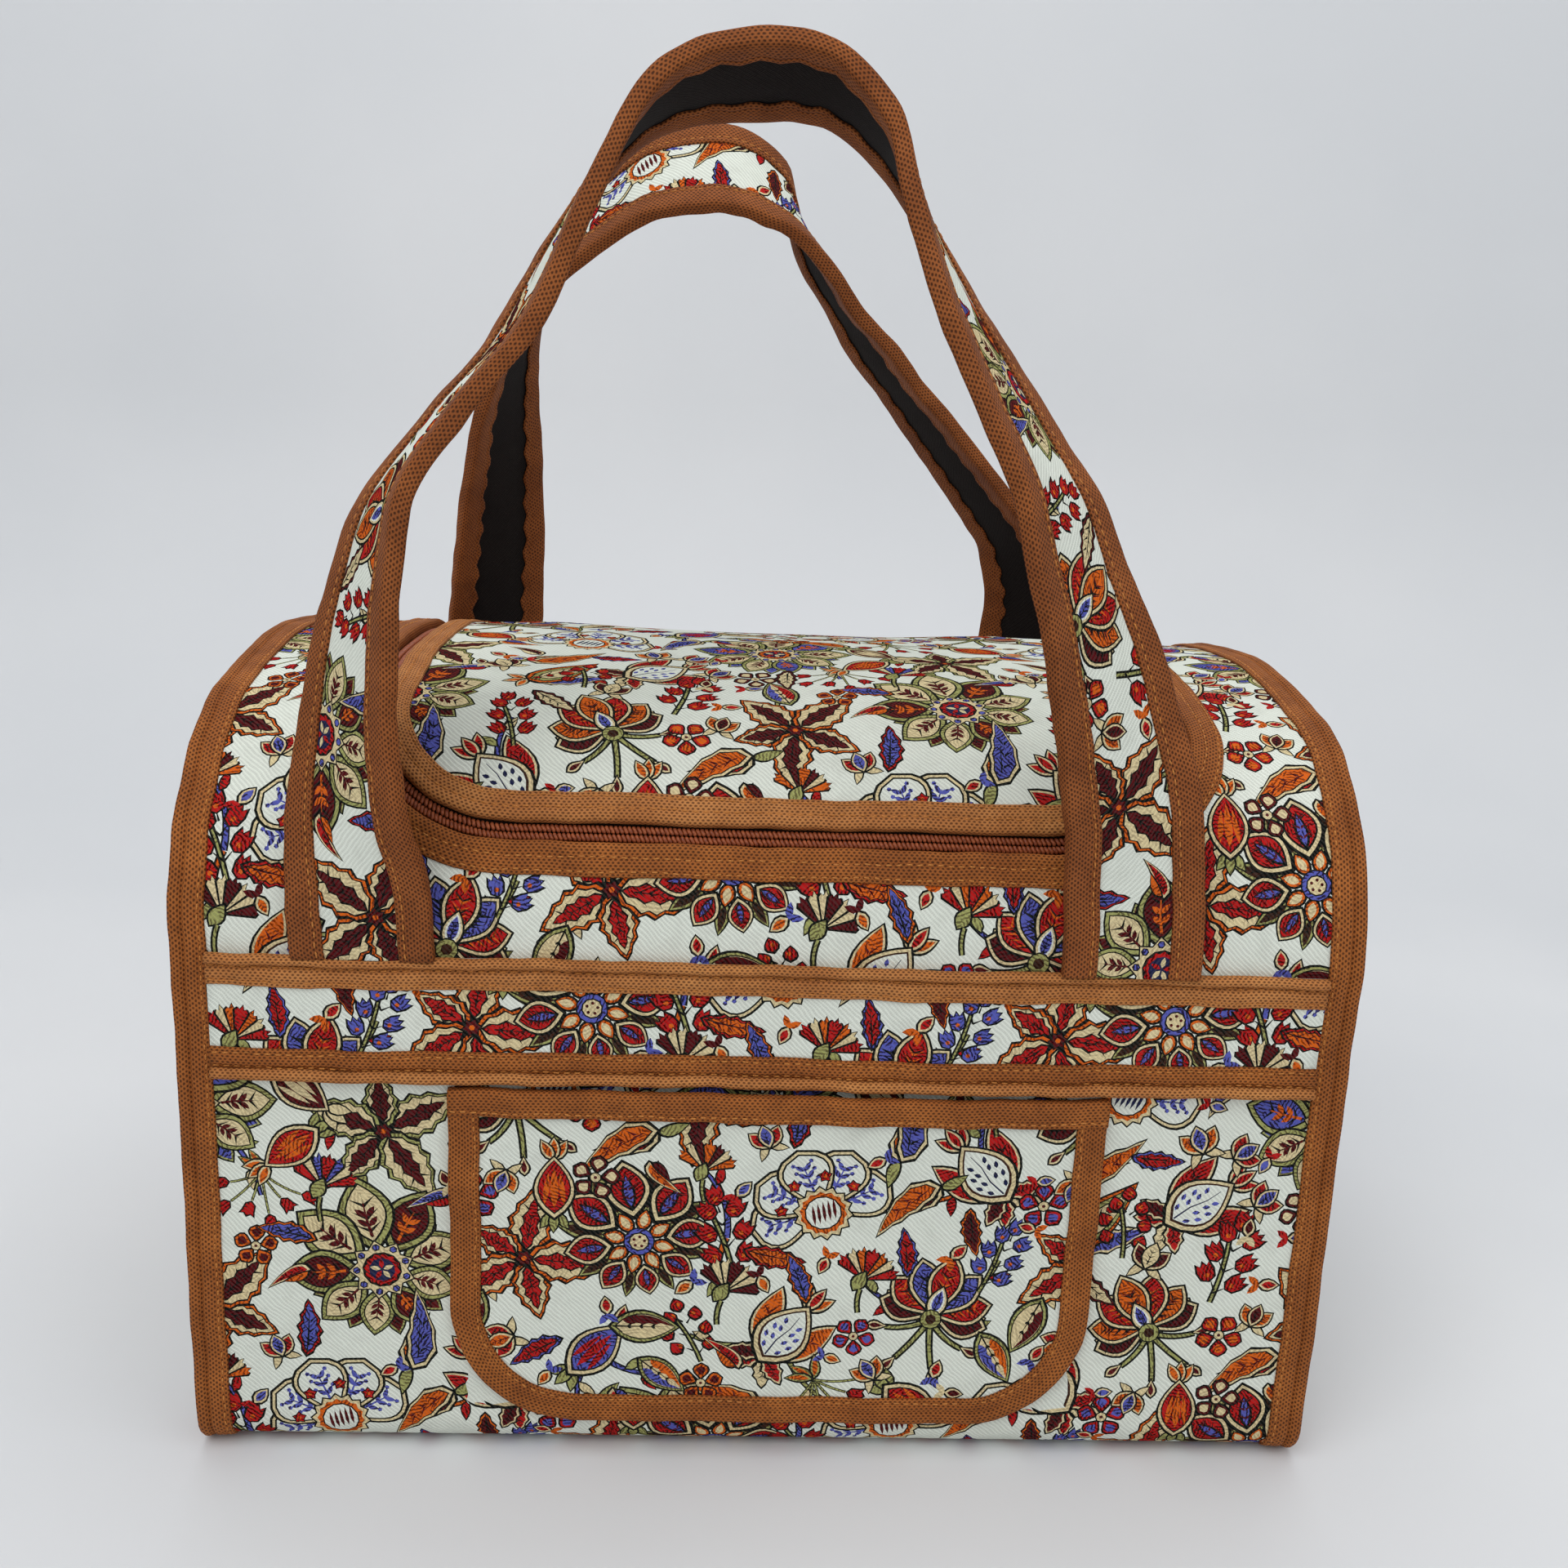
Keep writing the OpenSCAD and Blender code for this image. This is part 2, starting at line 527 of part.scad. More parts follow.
// Tape over one long edge of a band, with its lip turned in over the edge
module band_binding(side, top) color(tape_brown) {
    edge = top ? band_top : band_foot;
    inner = top ? band_top - band_tape_w : band_foot + band_tape_w;
    lip = top ? band_top - tape_t : band_foot + tape_t;
    face = 2 * seam_gap + band_t;
    on_wall(side, band_half_w, min(edge, inner), max(edge, inner), face, face + tape_t);
    on_wall(side, band_half_w, min(edge, lip), max(edge, lip), seam_gap, face + tape_t);
}

// The pocket's outline, grown by g, with square upper and rounded lower corners
module pocket_outline(g) {
    w = pocket_w + 2 * g;
    r = pocket_corner_r + g;
    translate([pocket_shift, pocket_foot]) {
        translate([-w / 2, pocket_corner_r]) square([w, pocket_h - pocket_corner_r]);
        translate([-w / 2 + r, -g]) square([w - 2 * r, pocket_corner_r + g]);
        for (side = [-1, 1])
            translate([side * (w / 2 - r), pocket_corner_r]) circle(r = r, $fn = round_fn);
    }
}

module from_front(n0, n1) {
    translate([0, -half_d - n0, 0]) rotate([90, 0, 0]) linear_extrude(n1 - n0) children();
}

module pocket_panel() color(print_cloth) from_front(seam_gap, seam_gap + pocket_t) intersection() {
    pocket_outline(-tape_out);
    translate([-bag_w, 0]) square([2 * bag_w, pocket_foot + pocket_h - tape_out]);
}

// The strip across the pocket's mouth that its top tape takes
module mouth_strip() {
    translate([-bag_w, pocket_foot + pocket_h - pocket_tape_w - seam_gap])
        square([2 * bag_w, 2 * pocket_tape_w]);
}

// Tape on the pocket's sides and foot, and the lip it turns over the edge
module pocket_edge_binding() color(tape_brown) {
    face = 2 * seam_gap + pocket_t;
    from_front(face, face + tape_t) difference() {
        pocket_outline(0);
        pocket_outline(-pocket_tape_w);
        mouth_strip();
    }
    from_front(seam_gap, face + tape_t / 2) difference() {
        pocket_outline(0);
        pocket_outline(-tape_t);
        mouth_strip();
    }
}

// Tape across the pocket's mouth, folded over its edge
module pocket_top_binding() color(tape_brown) {
    face = 2 * seam_gap + pocket_t;
    top = pocket_foot + pocket_h;
    translate([pocket_shift - pocket_w / 2, -half_d - face - tape_t, top - pocket_tape_w])
        cube([pocket_w, tape_t, pocket_tape_w]);
    translate([pocket_shift - pocket_w / 2, -half_d - face - tape_t / 2, top - tape_t])
        cube([pocket_w, face - seam_gap + tape_t / 2, tape_t]);
}

// A strap is a printed layer and a lining layer, back to back, with folded tape along both edges
module strap_layer(frames, n0, n1) {
    tape_end = strap_w / 2 - strap_tape_w;
    ends = [-strap_edge, -tape_end, tape_end, strap_edge];
    strap_run(frames, concat([[ends[0], n0]], [for (e = ends) [e, n1]], [for (i = [3:-1:1]) [ends[i], n0]]));
}

module strap_face(frames) color(print_cloth) strap_layer(frames, layer_in, layer_out);

module strap_lining(frames) color(lining_black) strap_layer(frames, -layer_out, -layer_in);

module strap_binding(frames, inner) color(tape_brown) {
    shape = [for (q = fold_profile([tape_out - strap_tape_w], -layer_out, layer_out))
        [q[0] + strap_edge, q[1]]];
    strap_run(frames, inner ? shape : flipped(shape));
}

lower_panel();
upper_panel();
end_panel(-1);  // end_panel_left
end_panel(1);  // end_panel_right
end_binding(-1);  // end_binding_left
end_binding(1);  // end_binding_right
lid_panel();
lid_binding();
opening_binding();
lid_zip_strip();
body_zip_strip();
lid_zip_chain();
body_zip_chain();
zip_stops();
zip_slider();
zip_pull_tab();
band(-1);  // front_band
band_binding(-1, true);  // front_band_top_binding
band_binding(-1, false);  // front_band_bottom_binding
band(1);  // back_band
band_binding(1, true);  // back_band_top_binding
band_binding(1, false);  // back_band_bottom_binding
pocket_panel();
pocket_edge_binding();
pocket_top_binding();
strap_face(front_frames);  // front_handle_face
strap_lining(front_frames);  // front_handle_lining
strap_binding(front_frames, true);  // front_handle_inner_binding
strap_binding(front_frames, false);  // front_handle_outer_binding
strap_face(back_frames);  // back_handle_face
strap_lining(back_frames);  // back_handle_lining
strap_binding(back_frames, true);  // back_handle_inner_binding
strap_binding(back_frames, false);  // back_handle_outer_binding
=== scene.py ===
import math
import random

import bpy
import numpy as np
from mathutils import Matrix, Vector
from mathutils.bvhtree import BVHTree
from mathutils.geometry import delaunay_2d_cdt


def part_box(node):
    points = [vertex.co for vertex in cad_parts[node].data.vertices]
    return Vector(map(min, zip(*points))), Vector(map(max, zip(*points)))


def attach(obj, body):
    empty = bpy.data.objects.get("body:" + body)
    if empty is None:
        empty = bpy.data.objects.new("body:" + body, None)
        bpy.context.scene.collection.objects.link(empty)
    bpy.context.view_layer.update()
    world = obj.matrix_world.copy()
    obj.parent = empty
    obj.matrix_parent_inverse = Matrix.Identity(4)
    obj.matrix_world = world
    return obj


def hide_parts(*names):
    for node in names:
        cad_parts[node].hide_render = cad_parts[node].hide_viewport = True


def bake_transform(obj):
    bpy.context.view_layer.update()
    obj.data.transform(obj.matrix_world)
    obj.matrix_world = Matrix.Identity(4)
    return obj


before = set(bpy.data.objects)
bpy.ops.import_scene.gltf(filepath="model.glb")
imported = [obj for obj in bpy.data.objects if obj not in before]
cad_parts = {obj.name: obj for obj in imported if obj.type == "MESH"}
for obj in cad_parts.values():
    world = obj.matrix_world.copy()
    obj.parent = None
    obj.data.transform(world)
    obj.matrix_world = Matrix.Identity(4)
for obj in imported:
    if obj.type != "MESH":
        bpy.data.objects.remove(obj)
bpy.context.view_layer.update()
scene = bpy.context.scene
scene.view_settings.view_transform = "Standard"
mm = 0.001


def cadSpan(node):
    # lowest and highest corner of a CAD piece, in millimetres
    low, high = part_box(node)
    return np.array(low) / mm, np.array(high) / mm


# Arched section of the bag, in millimetres
section = {"shoulder": 82.0, "crown": 430.0, "foot": 14.0, "clothThick": 3.0, "slack": 1.1, "bulge": 3.0,
           "gap": 0.2}
halfDepth, panelHalf = cadSpan("lower_panel")[1][1], cadSpan("lower_panel")[1][0]
floorZ = cadSpan("end_panel_left")[0][2] - section["clothThick"] - section["gap"]
topZ = cadSpan("upper_panel")[1][2]
floorHalf = halfDepth - section["foot"]
wallFoot = floorZ + section["foot"]
cornerEnd = floorHalf + section["foot"] * math.pi / 2
shoulderY = halfDepth - section["shoulder"]
crownHalf = math.asin(shoulderY / (section["crown"] - section["shoulder"]))
crownZ = topZ - section["crown"]
shoulderZ = crownZ + (section["crown"] - section["shoulder"]) * math.cos(crownHalf)
wallEnd = cornerEnd + shoulderZ - wallFoot
shoulderEnd = wallEnd + section["shoulder"] * (math.pi / 2 - crownHalf)
crestS = shoulderEnd + section["crown"] * crownHalf
loopS = 2 * crestS


def sectionAt(s):
    # place and outward direction on the section; s runs from the middle of the floor forward, up and over
    s = np.asarray(s, float)
    t = np.where(s < 0, -s, np.where(s > crestS, loopS - s, s))
    side = np.where((s < 0) | (s > crestS), -1.0, 1.0)
    still = 0 * t
    low = (t - floorHalf) / section["foot"]
    high = (t - wallEnd) / section["shoulder"]
    top = (crestS - t) / section["crown"]
    zones = [t < floorHalf, t < cornerEnd, t < wallEnd, t < shoulderEnd, t >= shoulderEnd]
    y = np.select(zones, [-t, -floorHalf - section["foot"] * np.sin(low), still - halfDepth,
                          -shoulderY - section["shoulder"] * np.cos(high), -section["crown"] * np.sin(top)])
    z = np.select(zones, [still + floorZ, wallFoot - section["foot"] * np.cos(low), wallFoot + t - cornerEnd,
                          shoulderZ + section["shoulder"] * np.sin(high),
                          crownZ + section["crown"] * np.cos(top)])
    outY = np.select(zones, [still, -np.sin(low), still - 1, -np.cos(high), -np.sin(top)])
    outZ = np.select(zones, [still - 1, -np.cos(low), still, np.sin(high), np.cos(top)])
    return y * side, z, outY * side, outZ


def eased(value):
    value = np.clip(value, 0, 1)
    return value * value * (3 - 2 * value)


give = {"tailX": 105, "ahead": 30, "past": 40, "ease": 20, "rise": 60, "edge": 14, "floor": 0.06}


def slackAt(x, s):
    # soft give of the cloth, none by the zip's tails; the floor sinks between its tapes
    s = np.where(s < 0, s + loopS, s)
    t = np.where(s > crestS, loopS - s, s)
    ease = give["ease"]
    tails = eased((np.abs(x) - give["tailX"]) / ease) * eased((s - foldS + give["ahead"]) / ease)
    tails = tails * eased((tailEnd + give["past"] - s) / ease)
    free = eased((t - cornerEnd) / give["rise"]) * (1 - tails)
    sunk = (floorZ - give["floor"]) * eased((panelHalf - give["edge"] - np.abs(x)) / ease)
    sunk = sunk * eased((floorHalf - t) / ease)
    wave = np.sin(x / 33 + s / 59 + 0.6) * np.sin(s / 46 + 1.1)
    wave = wave + 0.5 * np.sin(x / 17 - s / 31 + 2) * np.sin(s / 23)
    return section["slack"] * free * wave + sunk


def onCloth(x, s, n):
    x, s = np.broadcast_arrays(np.asarray(x, float), np.asarray(s, float))
    y, z, outY, outZ = sectionAt(s)
    lift = n + slackAt(x, s)
    return np.stack([x, y + lift * outY, z + lift * outZ], -1)


def wallS(z, back=False):
    # cloth distance of a height on the front or back wall
    s = cornerEnd + z - wallFoot
    return loopS - s if back else s


# Inks of the print, as sRGB, with the weight of the drawn strokes in each
inks = {"ink": (18, 22, 20, 0), "ground": (231, 236, 224, 0), "cream": (230, 212, 164, 90),
        "olive": (168, 170, 104, 190), "red": (190, 30, 30, 255), "maroon": (92, 24, 28, 200),
        "orange": (226, 104, 30, 220), "blue": (92, 98, 186, 255), "navy": (36, 42, 78, 120),
        "brown": (66, 40, 30, 160)}

repeat = {"width": 208.0, "height": 232.0, "seed": 11, "anchorSize": 1.34, "fillSize": 1.18, "room": 0.84,
          "line": 0.18, "thin": 0.08, "plainLeast": 8.0, "plainThin": 0.2}


def polar(radius, angle):
    return radius * math.cos(angle), radius * math.sin(angle)


def turned(points, angle, at, size=1.0):
    c, s = math.cos(angle) * size, math.sin(angle) * size
    return [(at[0] + x * c - y * s, at[1] + x * s + y * c) for x, y in points]


def placed(shapes, angle, at, size=1.0):
    return [(turned(points, angle, at, size), ink) for points, ink in shapes]


def leafEdge(length, width, belly=0.45, teeth=0, bite=0.3, steps=6, blunt=0.9):
    # outline of a leaf from its base at the origin to its tip on +x
    power = math.log(0.5) / math.log(belly)
    count = 2 * teeth if teeth else steps
    side = []
    for i in range(1, count):
        t = i / count
        half = width / 2 * math.sin(math.pi * t ** power) ** blunt
        if teeth and i % 2 == 0:
            half *= 1 - bite
        side.append((t * length, half))
    return [(0, 0)] + side + [(length, 0)] + [(x, -y) for x, y in reversed(side)]


def leaf(length, width, *insets, rim="ink", bend=0.0, **shape):
    # nested leaves from the outline to the fill, each inset by so many millimetres and then its ink
    made, more = [], 0.0
    layers = [(0, rim), *zip(insets[::2], insets[1::2])]
    shape.setdefault("steps", 8 if length > 12 else 6)
    for k, (inset, ink) in enumerate(layers):
        step = inset + more if k else -repeat["line"]
        inner = leafEdge(length - 2.6 * step, width - 2.1 * step, **shape)
        made.append(([(x + 1.5 * step, y) for x, y in inner], ink))
        more += repeat["line"] if k and ink == "ink" else 0.0
    if length > 9 and insets and layers[-1][1] not in ("ground", "ink"):
        dark = "maroon" if layers[-1][1] == "orange" else "ink"
        made.append(([(0.2 * length, -0.22), (0.8 * length, 0), (0.2 * length, 0.22)], dark))
        made += ticks(length, 0.8 * width, dark, 3, 0.26)
    return [([(x, y + bend * length * (x / length) ** 2) for x, y in points], ink) for points, ink in made]


def disc(radius, ink, at=(0, 0), sides=10, zigzag=0.0):
    count = sides * 2 if zigzag else sides
    ring = []
    for i in range(count):
        r = radius * (1 - zigzag * (i % 2))
        ring.append((at[0] + r * math.cos(2 * math.pi * i / count),
                     at[1] + r * math.sin(2 * math.pi * i / count)))
    return (ring, ink)


def stroke(points, width, ink, rim="ink", line=0.6, tail=0.35):
    # a brush line along points that thins towards its end, with its own outline
    made = []
    for grow, colour in ((line, rim), (0, ink)) if line else ((0, ink),):
        left, right = [], []
        for i, (x, y) in enumerate(points):
            before, after = points[max(i - 1, 0)], points[min(i + 1, len(points) - 1)]
            dx, dy = after[0] - before[0], after[1] - before[1]
            size = math.hypot(dx, dy) or 1.0
            half = width / 2 * (1 - (1 - tail) * i / (len(points) - 1)) + grow
            left.append((x - dy / size * half, y + dx / size * half))
            right.append((x + dy / size * half, y - dx / size * half))
        made.append((left + right[::-1], colour))
    return made


def arc(start, angle, turn, length, steps=7):
    points = [start]
    for i in range(steps):
        a = angle + turn * (i + 0.5) / steps
        x, y = points[-1]
        points.append((x + length / steps * math.cos(a), y + length / steps * math.sin(a)))
    return points


def ticks(length, width, ink, count, start):
    made = []
    for k in range(count):
        x = length * (start + 0.5 * k / count)
        for d in (-1, 1):
            tip = (x + 0.14 * length, d * width * 0.32)
            made.append(([(x, 0.1 * d), tip, (x + 0.05 * length, 0.1 * d)], ink))
    return made


def rosette(petals, radius, shapes, turn=0.0, swell=0.0):
    # a ring of petals that may be longer on one side
    made = []
    for k in range(petals):
        a = turn + 2 * math.pi * k / petals
        made += placed(shapes, a, polar(radius, a), 1 + swell * math.sin(a))
    return made


def bloom(first, second):
    # full-faced flower: sepals behind, two rings of petals and a seeded eye
    petals = 8
    made = rosette(petals, 8, leaf(13.5, 5.5, 0.5, "olive", 1.2, "brown"), math.pi / petals, 0.3)
    outer = leaf(14, 10, 0.5, "cream", 1.2, "ink", 1.45, first, belly=0.5)
    outer += placed(leaf(8, 2.6, 0.35, second), 0, (2.5, 0)) + ticks(13, 8, "maroon", 3, 0.35)
    made += rosette(petals, 7, outer, 0.0, 0.3)
    made += rosette(petals, 3.2, leaf(7, 4.4, 0.4, "orange", 1.0, "cream"), math.pi / petals)
    made += [disc(4.4, "ink", sides=12), disc(4.0, second, sides=12), disc(2.9, "ink"), disc(2.5, "cream")]
    made += [disc(0.5, "maroon", polar(1.5, k), 5) for k in (0, 1.26, 2.51, 3.77, 5.03)]
    return made


def heartBloom(first, second):
    # flower seen from the side: a fan of petals above and hanging stamens below
    made = []
    for a in (-1.2, -0.75, -0.25, 0.25, 0.75, 1.2):
        reach = 17 - 5 * abs(a)
        made += stroke(arc((0, -2), -math.pi / 2 + a, a * 0.9, reach), 1.0, "olive", tail=0.8)
        tip = arc((0, -2), -math.pi / 2 + a, a * 0.9, reach - 1)[-1]
        made += placed(leaf(6.4, 3.4, 0.4, "cream", 0.9, "maroon", belly=0.62),
                       -math.pi / 2 + 1.8 * a, tip)
    for a, tint in ((-1.5, "maroon"), (1.5, "maroon"), (-1.05, first), (1.05, first), (-0.5, second),
                    (0.5, second), (0, first)):
        petal = leaf(20 - 2.5 * abs(a), 10.5, 0.5, "cream", 1.2, "ink", 1.45, tint, belly=0.56)
        petal += ticks(17, 8, "orange" if tint == "red" else "ink", 4, 0.3)
        made += placed(petal, math.pi / 2 + a, (0, -1))
    made += placed(leaf(11, 6, 0.45, "cream", 1, "ground", 1.5, "blue"), math.pi / 2, (0, -2))
    made += [disc(3.2, "ink", (0, -2)), disc(2.8, "olive", (0, -2)), disc(1.6, "brown", (0, -2), 7)]
    return made


def pomegranate(first, second):
    # split fruit with seeds, a crown of tips and leaves at its foot
    made = []
    for a, tint in ((2.5, "red"), (-2.5, "cream"), (2.0, "maroon"), (-2.0, "red")):
        made += placed(leaf(11, 6.5, 0.5, "cream", 1.1, tint, teeth=4, bite=0.25), a, (-8, 0))
    for d in (-1, 1):
        made += placed(leaf(22, 9, 0.5, "cream", 1.1, second, bend=-0.25 * d, belly=0.55),
                       0.62 * d, (-9, 1.5 * d))
    for a, tint in ((-0.5, second), (0.5, second), (0, "red")):
        made += placed(leaf(9, 4.2, 0.45, "cream", 1, tint), a, (10, 0))
    made += placed(leaf(23, 16, 0.55, "cream", 1.5, "brown", 2.1, "ground", belly=0.44), 0, (-11, 0))
    made += stroke([(-7.5, 0), (-2, 0.5), (3, -0.3), (7.5, 0)], 0.5, "navy", "navy", 0.0)
    for x, y in ((-5, 2), (-5, -2), (-2, 3.6), (-2, -3.4), (-1.6, 1.6), (-1.4, -1.3), (1.2, 3.2), (1.2, -3.4),
                 (1.6, 1.4), (1.8, -1.4), (4.4, 1.8), (4.4, -1.8)):
        made += placed([(leafEdge(2.3, 1.3, steps=3), first)], 0.5 if y > 0 else -0.5, (x - 1, y))
    return made


def starLeaves(first, second):
    # spray of toothed leaves round a small knot
    made = []
    for a, size in ((0.2, 1.0), (1.35, 0.78), (2.5, 0.95), (3.75, 0.85), (5.0, 1.05)):
        length = 23 * size
        blade = leaf(length, 13.5 * size, 0.5, first, 1.15, "ink", 1.4, "cream", teeth=5, bite=0.2, belly=0.4)
        blade += placed(leaf(length * 0.7, 5.6, 0.35, second, teeth=4, bite=0.35), 0, (2.5, 0))
        made += placed(blade, a, (0, 0))
    made += [disc(3.0, "ink", zigzag=0.35, sides=6), disc(2.4, "maroon", zigzag=0.35, sides=6),
             disc(0.8, "orange", sides=6)]
    return made


def lotus(first, second):
    # scalloped lobes with branching sprigs, round a hatched eye
    made = []
    for a in (-1.45, 1.45, -0.75, 0.75, 0.0):
        lobe = leaf(21, 16, 0.5, "cream", 1.2, "ink", 1.5, "ground", belly=0.66, steps=10, blunt=0.6)
        lobe += stroke([(6, 0), (11, 0), (15.5, 0)], 0.8, first, first, 0.0)
        for x, d in ((8.5, 1), (8.5, -1), (11.5, 1), (11.5, -1), (14, 1), (14, -1)):
            lobe += placed([(leafEdge(3.4, 1.5, steps=3), first)], 0.75 * d, (x, 0))
            lobe.append(disc(0.7, first, (x + 2.6, 2.6 * d), 5))
        made += placed(lobe, math.pi / 2 + a, (0, -6))
    for a in (-1.15, -0.4, 0.4, 1.15):
        x, y = 11.5 * math.sin(a), 11.5 * math.cos(a) - 6
        made += [disc(2.2, "ink", (x, y), 5, 0.35), disc(1.7, "red", (x, y), 5, 0.35),
                 disc(0.6, "orange", (x, y), 5)]
    made += [disc(8.6, "ink", (0, -6), 14, 0.16), disc(8.0, "cream", (0, -6), 14, 0.16),
             disc(6.6, "orange", (0, -6), 14, 0.1), disc(5.2, "ink", (0, -6), 12),
             disc(4.8, "ground", (0, -6), 12)]
    for k in range(5):
        made += placed([(leafEdge(6.5, 1.0, steps=3), second)], 1.35, (-3.4 + 1.5 * k, -9))
    return made


def paisley(first, second):
    made = leaf(26, 13, 0.5, first, 1.3, "ink", 1.55, "olive", 2.7, "ink", 2.95, "cream", bend=0.35,
                belly=0.36)
    for x, y in ((4.5, 0.2), (8.5, 1.0), (12.5, 2.4), (16, 4)):
        made += [disc(1.3, "ink", (x, y), 6), disc(1.0, "red", (x, y), 6)]
    lower = leaf(24, 8, 0.45, "cream", 1.1, second, bend=0.3, teeth=5, bite=0.22)
    made = placed(lower, -0.42, (1, -2)) + made
    for a in (2.2, 3.1, 4.0):
        made += placed(leaf(7.5, 3.6, 0.4, "cream", 0.9, "orange"), a, (1.5, 0))
    return made


def carnation(first, second):
    made = []
    for a, tint in ((-1.0, first), (1.0, first), (-0.62, "cream"), (0.62, "cream"), (-0.3, second),
                    (0.3, second), (0, first)):
        fan = [(0, 0), (9, -2.6), (10.2, -1.7), (9.6, -0.8), (11.4, 0), (9.6, 0.8), (10.2, 1.7), (9, 2.6)]
        inner = [(1.6 + x * 0.82, y * 0.72) for x, y in fan]
        petal = [(fan, "ink"), (inner, tint)] + ticks(9, 2.6, "maroon", 1, 0.45)
        made += placed(petal, math.pi / 2 + a, (0, 0))
    made += placed(leaf(8, 5, 0.45, "olive", belly=0.55), -math.pi / 2 - 0.25, (0, 3.5))
    made += stroke(arc((0, -3), -math.pi / 2, 0.5, 8, 4), 0.8, "olive", tail=0.8)
    return made


def bell(tint):
    cup = [(0, 0), (1.4, 1.9), (4, 2.3), (5.8, 2.9), (5.2, 1.3), (6.4, 0), (5.2, -1.3), (5.8, -2.9),
           (4, -2.3), (1.4, -1.9)]
    return [(cup, "ink"), ([(0.6 + x * 0.8, y * 0.74) for x, y in cup], tint)]


def spray(first, second):
    # drooping stems that each end in a bell or bud
    made = []
    for k, a in enumerate((-1.25, -0.75, -0.25, 0.25, 0.75, 1.25)):
        reach = 15 if k % 2 else 11
        way = arc((0, 8), -math.pi / 2 + a * 0.7, a * 0.4, reach, 5)
        made += stroke(way, 0.5, "olive", "ink", 0.25, 0.9)
        made += placed(bell(first), -math.pi / 2 + a * 1.1, way[-1])
    for a in (0.9, 1.9, 2.4):
        made += placed(leaf(9, 3.6, 0.4, "olive", 0.9, second, bend=0.2), a, (0, 8))
    return made


def berries(first, second):
    made = stroke(arc((0, -10), math.pi / 2, 0.35, 19, 6), 0.6, "olive", tail=0.7)
    for x, y in ((-4.6, -3), (3.6, -4.5), (-5.6, 2.6), (4.2, 1.2), (-3.4, 7.6), (3.0, 6.8), (-0.6, 11)):
        made += stroke([(x * 0.15 - 0.3, y - 2.5), (x * 0.6, y - 1)], 0.7, "ink", "ink", 0)
        made += placed(leaf(5.2, 4.6, 0.4, first, belly=0.42, steps=5), math.pi / 2 - x * 0.1, (x, y - 2.4))
        made.append(disc(0.75, "orange", (x + 0.3, y + 0.3), 5))
    return made


def daisy(first, second):
    petal = leaf(6.4, 5.6, 0.4, first, 1.15, second, belly=0.6, blunt=0.75, steps=5)
    made = rosette(5, 1.3, petal, 0.3)
    return made + [disc(1.9, "ink", sides=8), disc(1.5, "cream", sides=8), disc(0.6, "maroon", sides=5)]


def splitLeaf(first, second):
    # leaf with two differently inked halves and a toothed vein
    made = leaf(21, 11, 0.5, "olive", 1.15, "ink", 1.35, "cream", belly=0.45)
    half = leafEdge(17, 7.2, belly=0.45, steps=8)[:9]
    vein = [(15 - 1.7 * k, 0.6 + 0.55 * (k % 2)) for k in range(8)]
    made.append(([(2 + x, y + 0.2) for x, y in half[1:]] + [(2 + x, y) for x, y in vein], first))
    made.append(([(2 + x, -y - 0.2) for x, y in half[1:]] + [(2 + x, -y) for x, y in vein], second))
    made.append(([(1.4, -0.3), (18.5, 0), (1.4, 0.3)], "ink"))
    return placed(made, 0, (-10, 0))


def bud(first, second):
    made = []
    for a in (-2.3, 2.3):
        made += placed(leaf(7, 3.2, 0.35, "cream", steps=4, bend=0.2), a, (0, 0))
    for a, tint in ((-0.6, first), (0.6, first), (0, second)):
        made += placed(leaf(9.5, 5.6, 0.4, "cream", 0.95, tint, belly=0.5, steps=5), a, (-2, 0))
    return placed(made, 0, (-1, 0))


def toothedLeaf(first, second):
    made = leaf(19, 8, 0.45, first, 1.0, "ink", 1.2, second, teeth=5, bite=0.26, bend=0.18)
    made.append(([(1.2, -0.15), (16, 2.4), (1.2, 0.25)], "ink"))
    return placed(made, 0, (-9, -1))


def curl(first, second):
    made = leaf(14, 5.4, 0.4, "cream", 1.0, first, bend=0.6, belly=0.36)
    made += placed(leaf(8.5, 3.4, 0.4, second, bend=-0.5), 1.0, (1, 0.5))
    return placed(made, 0, (-6, -3))


def tinyBud(first, second):
    made = leaf(7, 4.4, 0.4, "cream", 0.95, first, steps=4)
    for a in (2.4, -2.4):
        made += placed(leaf(4.2, 2.0, rim=second, steps=3), a, (0.5, 0))
    return placed(made, 0, (-3, 0))


